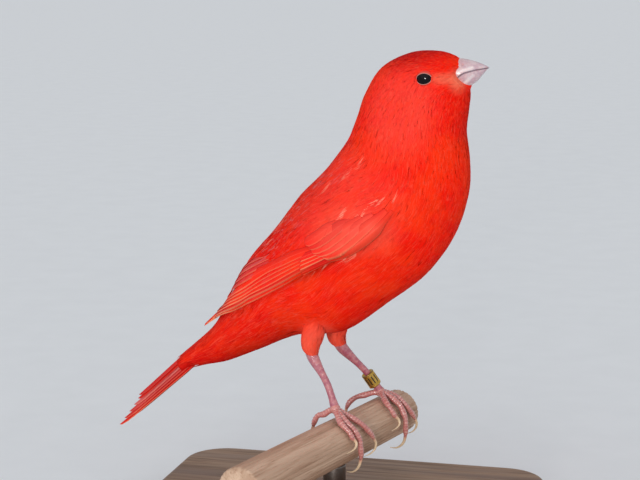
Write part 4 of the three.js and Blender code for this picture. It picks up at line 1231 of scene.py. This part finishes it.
def tail_blade(rng, side, pair):
    """A tail feather. Its outer web droops towards the next one, so the folded tail has a roof's section."""
    t, s, fray = blade_grid(rng, BLADE_ROWS, 0.05, 0.5)
    end, tint, grey, edge = TAIL_PAIRS[pair]
    along = -3 + (end + 3) * t
    reach = along / TAIL_LENGTH
    width = feather_width(t, 0.75, 0.08, 0.8) * fray
    outer = np.maximum(s, 0) * width
    inner = np.maximum(-s, 0) * width
    shaft_out = 1.75 + 0.12 * pair + 0.35 * reach * pair
    gathered = 0.62 + 0.38 * step(-3, 7, along)
    y = side * gathered * (shaft_out + 0.75 * outer - 1.7 * inner)
    up = 0.1 + 1.2 * reach + (2.5 - pair) * (0.72 - 0.2 * reach)
    up = up - 0.85 * outer - 0.15 * inner + 0.05 * (s == 0)
    sheet = TAIL_BASE + along[..., None] * TAIL_WAY + y[..., None] * Y
    return blade(rng, t, s, sheet, TAIL_UP, up, TAIL_VANE, s, end / 1.8, edge, tint, grey)


def tail(look):
    rng = np.random.default_rng(90)
    blades = [tail_blade(rng, side, pair) for pair in range(len(TAIL_PAIRS)) for side in (-1, 1)]
    feather_piece("tail_feathers", blades, look, "tail")


# Head

# The eyelid's cross-section, from the rim on the eyeball out to the skin: share of the opening's size, height
# over the eyeball, and how far it is the pale rim
LID_PROFILE = np.array([
    (0.99, -0.12, 1.0),
    (1.00, 0.06, 1.0),
    (1.04, 0.14, 1.0),
    (1.09, 0.15, 0.8),
    (1.14, 0.08, 0.25),
    (1.20, 0.02, 0.0),
    (1.30, 0.05, 0.0),
    (1.42, -0.08, 0.0),
    (1.50, -0.40, 0.0),
    (1.30, -0.60, 0.0),
    (1.05, -0.40, 0.0),
])
# The bill's sections from the root to the tip: top x and z, bottom x and z, half width. Then, seen from the
# side, the line of the mouth, the streaks of painted highlight on each half, and the nostril.
BILL = np.array([
    [19.4, 98.3, 19.6, 91.6, 4.2],
    [22.3, 98.4, 23.4, 91.0, 4.25],
    [24.9, 98.0, 26.2, 92.2, 3.1],
    [27.4, 97.3, 28.1, 94.3, 1.75],
    [29.1, 96.6, 29.25, 95.7, 0.7],
    [29.7, 96.25, 29.7, 96.05, 0.16],
])
MOUTH = np.array([[20.2, 90.6], [22.4, 93.9], [23.9, 94.9], [26.2, 95.55], [29.75, 96.15]])
HIGHLIGHT_STREAKS = {"upper": [[22.0, 95.1], [25.6, 96.2]], "lower": [[23.6, 92.0], [25.9, 94.3]]}
NOSTRIL = {"x": 23.3, "z": 97.0, "depth": 0.45, "size": 0.42}
BILL_SECTIONS = 60
BILL_ARC = 34


def eye_pieces():
    look = material("eye", eye_look)
    lid = material("eyelid", lid_look)
    front = np.linspace(0.01, 1.0, 26)
    share, turn = grid(np.append(front, [0.97, 0.9]), circle(64))
    back = np.append(np.zeros(26), [0.35, 0.7])[:, None]
    x = 1.14 * EYE["half_long"] * share * np.cos(turn)
    z = 1.2 * EYE["half_high"] * share * np.sin(turn)
    height = np.sqrt(EYE["radius"] ** 2 - x**2 - z**2) - 0.14 * (1 - share**2) ** 2 - back
    for name, (centre, out, ahead, high) in EYES.items():
        ball = out * height[..., None] + ahead * x[..., None] + high * z[..., None]
        piece("eyeball_" + name, *loft(centre + ball), look, "eye", ["eye_" + name])
        lid_piece(name, centre, out, ahead, high, lid)


def lid_piece(name, centre, out, ahead, high, look):
    share, over, pale = LID_PROFILE.T
    turn = circle(72)[:, None]
    corner = 1 + 0.15 * np.exp(-((np.minimum(turn, TAU - turn) / 0.2) ** 2))
    x = EYE["half_long"] * np.cos(turn) * share * corner
    z = EYE["half_high"] * np.sign(np.sin(turn)) * np.abs(np.sin(turn)) ** 1.08 * share
    flat = np.minimum(np.hypot(x, z), EYE["radius"] * 0.93)
    height = np.sqrt(EYE["radius"] ** 2 - flat**2) + over + 0.03 * np.sin(turn * 22) * pale
    rings = centre + ahead * x[..., None] + high * z[..., None] + out * height[..., None]
    piece("lid_" + name, *band(rings), look, "plumage", ["head"], values={"rim": np.tile(pale, len(turn))})


def bill_half(name):
    """One half of the bill as a closed mesh, with values for its root, painted shade on the mouth's line and
    painted highlight.
    """
    upper = name == "upper"
    places = np.linspace(0, len(BILL) - 1, BILL_SECTIONS)
    rings = []
    for top_x, top_z, bottom_x, bottom_z, half in smooth(BILL, places):
        middle = np.array([(top_x + bottom_x) / 2, 0, (top_z + bottom_z) / 2])
        up = np.array([top_x - bottom_x, 0, top_z - bottom_z]) / 2
        share = np.linspace(-1, 1, 200)
        line = middle + up * share[:, None]
        split = np.interp(0, line[:, 2] - read(MOUTH, line[:, 0]), share)
        meet = math.acos(np.clip(split, -0.98, 0.98))
        gap = 0.05 / max(np.linalg.norm(up), 0.2)
        first, last = (gap - meet, meet - gap) if upper else (meet + gap, TAU - meet - gap)
        turn = np.linspace(first, last, BILL_ARC)
        ridge = 1 + (0.03 * np.exp(-((turn / 0.3) ** 2)) if upper else 0)
        across = max(half, 0.05) * np.sin(turn) * (1 - 0.05 * np.sin(2 * np.abs(turn)) ** 2)
        shell = middle + up * (np.cos(turn) * ridge)[:, None] + Y * across[:, None]
        inner = np.linspace(-0.96, 0.96, 14)
        weight = ((inner + 0.96) / 1.92)[:, None]
        dome = (0.18 if upper else 0.16) * (1 - inner**2) * np.linalg.norm(up)
        floor = shell[-1] * (1 - weight) + shell[0] * weight + unit(up) * dome[:, None]
        rings.append(np.concatenate([shell, floor]))
    rings = np.array(rings)
    x, z = rings[..., 0], rings[..., 2]
    root = np.maximum(1 - step(0.0, 1.6, places), 0.5 * (1 - step(0, 3.0, places)))
    root = root[:, None] + np.zeros(x.shape)
    # Dark along the mouth's line: painted shade in the seam
    mouth = 1 - step(0.0, 0.36, np.abs(z - read(MOUTH, x)))
    # Near-white streaks along each half: painted highlight
    start, end = np.array(HIGHLIGHT_STREAKS[name])
    flat = rings[..., [0, 2]] - start
    share = np.clip(flat @ (end - start) / ((end - start) @ (end - start)), 0, 1)
    away = np.linalg.norm(flat - share[..., None] * (end - start), axis=-1)
    horn = 0.85 * step(0.62, 0.15, away) * (1 - 0.5 * share)
    if upper:
        for side in (-1, 1):
            away = np.hypot(x - NOSTRIL["x"], z - NOSTRIL["z"])
            dent = NOSTRIL["depth"] * np.exp(-((away / NOSTRIL["size"]) ** 2)) * (rings[..., 1] * side > 0.8)
            rings[..., 1] -= side * dent
            root = np.maximum(root, 1.6 * dent)
    values = {
        "root": np.append(np.clip(root, 0, 1).ravel(), [1, 0]),
        "mouth": np.append(0.8 * mouth.ravel(), [0, 0.5]),
        "horn": np.append(horn.ravel(), [0, 0]),
    }
    return *loft(rings), values


def bill_pieces():
    look = material("bill", bill_look)
    for name in HIGHLIGHT_STREAKS:
        points, faces, values = bill_half(name)
        piece("beak_" + name, points, faces, look, "bill", ["bill_" + name], values=values)


# Legs

RING = {"from": 2.4, "height": 4.2, "inner": 1.45, "outer": 1.84, "bars": 11, "relief": 0.05, "corner": 0.1}
RING_SIDES = 160


def limb(path, radius, count, sides, up_at):
    """Rings along a path: radius is a function of the share, the angle from up_at's way, and the length."""
    path = np.asarray(path, float)
    fine = smooth(path, np.linspace(0, len(path) - 1, 400))
    gone = np.append(0, np.cumsum(np.linalg.norm(np.diff(fine, axis=0), axis=1)))
    at = np.linspace(0, gone[-1], count)
    centre = np.stack([np.interp(at, gone, fine[:, k]) for k in range(3)], -1)
    way = unit(np.gradient(centre, axis=0))
    top = up_at(centre)
    top = unit(top - np.einsum("ij,ij->i", top, way)[:, None] * way)
    t, angle = grid(np.linspace(0, 1, count), circle(sides))
    size, value = radius(t, angle, gone[-1])
    spoke = top[:, None] * np.cos(angle)[..., None] + np.cross(way, top)[:, None] * np.sin(angle)[..., None]
    return centre[:, None] + spoke * size[..., None], value


def off_perch(centre):
    """The direction out of the perch's axis at points near it."""
    away = centre - GRIP
    return away - (away @ PERCH_WAY)[:, None] * PERCH_WAY


def ahead_of_leg(centre):
    return np.tile([1.0, 0.0, 0.35], (len(centre), 1))


def scutes(t, angle, length, pitch, sharp):
    """Overlapping scutes along a leg or toe: 1 at each scute's raised far edge, strongest on its front."""
    front = np.clip(0.5 + 0.9 * np.cos(angle), 0, 1)
    return (t * length / pitch % 1.0) ** sharp * front, front


def toe_rings(leg, name):
    path = [grip_point(*leg["joint"])]
    path += [grip_point(way, angle, reach - 0.1) for way, angle, reach in leg["toes"][name]]
    bones = len(leg["toes"][name]) / 2

    def radius(t, angle, length):
        plate, front = scutes(t, angle, length, 0.85, 3.0)
        pads = 0.13 * np.cos(TAU * t * bones) * (1 - front)
        size = (0.94 - 0.26 * t) * (1 - 0.25 * step(0.93, 1.0, t))
        return size + 0.12 * plate + pads - 0.04, 0.2 + 0.8 * plate

    return limb(path, radius, 70, 18, off_perch)


def shank_rings(leg):
    ankle = np.array(leg["ankle"])
    start = ankle + 0.6 * (leg["thigh"][-1] - ankle)

    def radius(t, angle, length):
        plate, _ = scutes(t, angle, length, 1.55, 2.5)
        size = 0.98 + 0.75 * (1 - step(0.0, 0.5, t)) + 0.3 * step(0.8, 1.0, t)
        return size * (1 - 0.10 * np.abs(np.sin(angle))) + 0.05 * plate, 0.4 + 0.6 * plate

    return limb([start, ankle, leg["mid"], grip_point(*leg["joint"])], radius, 90, 22, ahead_of_leg)


def leg_pieces():
    look = material("leg", leg_look)
    claw = material("claw", claw_look)
    for name, leg in LEGS.items():
        rings, relief = shank_rings(leg)
        values = {"relief": np.append(relief.ravel(), [0.5, 0.5])}
        piece("tarsus_" + name, *loft(rings), look, "leg_skin", ["shank_" + name], values=values)
        parts = []
        reliefs = []
        for toe in leg["toes"]:
            rings, relief = toe_rings(leg, toe)
            parts.append(loft(rings))
            reliefs.append(np.append(relief.ravel(), [0.4, 0.4]))
            claw_piece(name, leg, toe, claw)
        polar, turn = grid(np.linspace(0.01, math.pi - 0.01, 20), circle(28))
        ball = np.stack([np.sin(polar) * np.cos(turn), np.sin(polar) * np.sin(turn), np.cos(polar)], -1)
        parts.append(loft(grip_point(*leg["joint"]) + 1.42 * ball))
        reliefs.append(np.full(len(parts[-1][0]), 0.45))
        points, faces = merged(parts)
        values = {"relief": np.concatenate(reliefs), "toe": np.ones(len(points))}
        piece("toes_" + name, points, faces, look, "leg_skin", ["foot_" + name], values=values)


def claw_piece(name, leg, toe, look):
    before, end = (grip_point(*p) for p in leg["toes"][toe][-2:])
    path = [end + 0.3 * (before - end), end] + [grip_point(*p) for p in leg["claws"][toe]]

    def radius(t, angle, length):
        return (0.5 - 0.43 * t**1.25) * (1 - 0.22 * np.abs(np.sin(angle))), t

    rings, tip = limb(path, radius, 40, 16, off_perch)
    which = name + "_" + toe
    values = {"tip": np.append(tip.ravel(), [0, 1])}
    piece("talon_" + which, *loft(rings), look, "claw", ["claw_" + which], values=values)


def ring_piece():
    """The leg ring: a rounded band with two rims, plain upright bars pressed into it, and pressed edges
    painted dark as shade.
    """
    joint = grip_point(*LEGS["left"]["joint"])
    way = unit(LEGS["left"]["mid"] - joint)
    side = unit(np.cross(way, Z))
    around, up = grid(circle(RING_SIDES), np.linspace(0, 1, 34))
    phase = around / TAU * RING["bars"] % 1.0
    bars_and_pressed_edges = step(0.22, 0.28, phase) * (1 - step(0.6, 0.66, phase))
    bars_and_pressed_edges *= step(0.2, 0.24, up) * (1 - step(0.76, 0.8, up))
    # Each edge is pressed in too, and the dark marks cover it there as painted shade
    bars_and_pressed_edges = np.maximum(bars_and_pressed_edges, 0.8 * (step(0.06, 0.02, up) + step(0.94, 0.98, up)))
    rim = np.clip(step(0.10, 0.04, up) + step(0.90, 0.96, up), 0, 1)
    corner = RING["corner"] * (np.clip(1 - up / 0.03, 0, 1) ** 2 + np.clip(1 - (1 - up) / 0.03, 0, 1) ** 2)
    outer = RING["outer"] - RING["relief"] * (1 - rim + bars_and_pressed_edges) - corner
    inside = np.full((RING_SIDES, 2), RING["inner"])
    reach = np.concatenate([outer, inside], 1)[..., None]
    high = np.concatenate([up, np.tile([1.0, 0.0], (RING_SIDES, 1))], 1)[..., None] * RING["height"]
    bars_and_edge_shade = np.concatenate([bars_and_pressed_edges, np.zeros_like(inside)], 1)
    turn = around[:, :1]
    spoke = np.cross(side, way) * np.cos(turn) + side * np.sin(turn)
    points, faces = band(joint + way * (RING["from"] + high) + spoke[:, None] * reach)
    look = material("ring", ring_look)
    piece("leg_band", points, faces, look, "ring_metal", ["leg_ring"], values={"bars_and_edge_shade": bars_and_edge_shade.ravel()})


# Perch and stand


def perch_piece():
    rng = np.random.default_rng(5)
    ends = np.array([0.0, 0.12, 0.3, 0.55, 0.8])
    inset = np.array([0.85, 0.45, 0.2, 0.05, 0.0])
    middle = np.linspace(PERCH_FROM + 1.2, PERCH_TO - 1.2, 90)
    along = np.concatenate([PERCH_FROM + ends, middle, PERCH_TO - ends[::-1]])
    drop = np.concatenate([inset, np.zeros(len(middle)), inset[::-1]])
    s, turn = grid(along, circle(PERCH_GROOVES * 10))
    depth = rng.uniform(0.12, 0.34, PERCH_GROOVES)
    wander = rng.normal(0, 0.16, (PERCH_GROOVES, 3))
    phase = turn / TAU * PERCH_GROOVES
    index = np.floor(phase).astype(int) % PERCH_GROOVES
    first, second, third = np.moveaxis(wander[index], -1, 0)
    sway = first + second * np.sin(s * 0.07 + index) + third * np.sin(s * 0.19)
    local = np.clip(phase % 1.0 + 0.5 * sway, 0, 1)
    wave = 0.75 + 0.25 * np.sin(s * 0.3 + 2 * index)
    groove = depth[index] * np.exp(-(((local - 0.5) / 0.16) ** 2)) * wave
    radius = PERCH_RADIUS - 0.03 - drop[:, None] - groove + 0.03 * np.sin(s * 0.11 + 3 * turn)
    across = PERCH_FRONT * (radius * np.sin(turn))[..., None] + Z * (radius * np.cos(turn))[..., None]
    points, faces = loft(GRIP + PERCH_WAY * s[..., None] + across)
    light, dark = rgb(0.66, 0.46, 0.33), rgb(0.46, 0.29, 0.195)
    look = material("perch_wood", wood_look, PERCH_TURN - TAU / 4, light, dark, 1.1, 0.6)
    piece("perch", points, faces, look, "perch_wood", ["stand_perch"])


def base_outline(inset, count=14):
    x, y, r = BASE["length"] / 2 - inset, BASE["width"] / 2 - inset, BASE["corner"] - inset
    points = []
    for cx, cy, start in ((x - r, y - r, 0), (r - x, y - r, 90), (r - x, r - y, 180), (x - r, r - y, 270)):
        for k in range(count + 1):
            a = math.radians(start + 90 * k / count)
            points.append([cx + r * math.cos(a), cy + r * math.sin(a)])
    return np.array(points)


def stand_pieces():
    top = BASE["thickness"]
    steps = [(0.5, 0.0), (0.12, 0.12), (0.0, 0.5)]
    steps += [(1.5 * (1 - math.cos(a)), top - 1.5 * (1 - math.sin(a))) for a in np.linspace(0, TAU / 4, 9)]
    steps += [(1.8, top), (3.0, top), (8.0, top), (11.5, top)]
    points, faces = loft(np.array([np.insert(base_outline(inset), 2, z, 1) for inset, z in steps]))
    look = material("base_wood", wood_look, 0.0, rgb(0.30, 0.17, 0.09), rgb(0.17, 0.085, 0.045), 0.55, 0.34)
    piece("base", points, faces, look, "base_wood", ["stand_base"], world=True)
    turn = circle(64)
    round_rod = np.stack([np.cos(turn), np.sin(turn)], -1)
    profile = ((2.6, 8.02), (ROD_RADIUS, 8.3), (ROD_RADIUS, 18.35))
    rings = [np.insert(r * round_rod, 2, z, 1) for r, z in profile]
    off = ROD_RADIUS * round_rod @ PERCH_FRONT[:2]
    under_perch = PERCH_AXIS_HEIGHT - np.sqrt((PERCH_RADIUS + 0.05) ** 2 - off**2)
    rings.append(np.insert(ROD_RADIUS * round_rod, 2, under_perch, 1))
    points, faces = loft(np.array(rings))
    piece("rod", points, faces, material("rod", rod_look), "rod_metal", ["stand_rod"], world=True)


# Stage

MIDDLE_HEIGHT = 0.08
FLOOR_HALF = 30.0
CAMERA_PLACE = (0.10169, -0.42362, 0.15184)
CAMERA_TURN = (math.radians(80.5), 0, math.radians(14))
CAMERA_LENS = 96
CAMERA_SENSOR = 36
SKY_COLOUR = rgb(0.92, 0.96, 1.0)
SKY_STRENGTH = 0.6
SUN_COLOUR = (1.0, 0.985, 0.96)
# Two suns: energy, then in degrees its width, its way round from square to the bird's right side towards the
# bill, and its height
SUNS = {"key": (0.65, 90, -4, 42), "front": (1.75, 11, 2.5, 2)}


def linked(name, data):
    made = bpy.data.objects.new(name, data)
    bpy.context.scene.collection.objects.link(made)
    return made


def stage_scene():
    scene = bpy.context.scene
    mesh = bpy.data.meshes.new("floor")
    corners = [(x * FLOOR_HALF, y * FLOOR_HALF, 0) for x, y in ((-1, -1), (1, -1), (1, 1), (-1, 1))]
    mesh.from_pydata(corners, [], [(0, 1, 2, 3)])
    mesh.materials.append(material("floor", floor_look))
    linked("floor", mesh)
    scene.world = bpy.data.worlds.new("studio")
    scene.world.use_nodes = True
    background = scene.world.node_tree.nodes["Background"]
    background.inputs["Color"].default_value = SKY_COLOUR
    background.inputs["Strength"].default_value = SKY_STRENGTH
    for name, (energy, width, azimuth, elevation) in SUNS.items():
        light = bpy.data.lights.new(name, "SUN")
        light.energy = energy
        light.angle = math.radians(width)
        light.color = SUN_COLOUR
        a, e = math.radians(azimuth), math.radians(elevation)
        lamp = linked(name, light)
        way = np.array([math.sin(a) * math.cos(e), -math.cos(a) * math.cos(e), math.sin(e)])
        lamp.location = way + MIDDLE_HEIGHT * Z
        lamp.rotation_euler = (math.pi / 2 - e, 0, a)
    camera = bpy.data.cameras.new("camera")
    camera.lens = CAMERA_LENS
    camera.sensor_width = CAMERA_SENSOR
    camera.sensor_fit = "HORIZONTAL"
    camera.clip_start = 0.01
    scene.camera = linked("camera", camera)
    scene.camera.location = CAMERA_PLACE
    scene.camera.rotation_euler = CAMERA_TURN
    scene.view_settings.view_transform = "Standard"


plumage = material("coat", coat_look)
vanes = material("vane", vane_look)
skin_piece()
body_coat(plumage)
thigh_coats(plumage)
wings(vanes)
tail(vanes)
eye_pieces()
bill_pieces()
leg_pieces()
ring_piece()
perch_piece()
stand_pieces()
stage_scene()
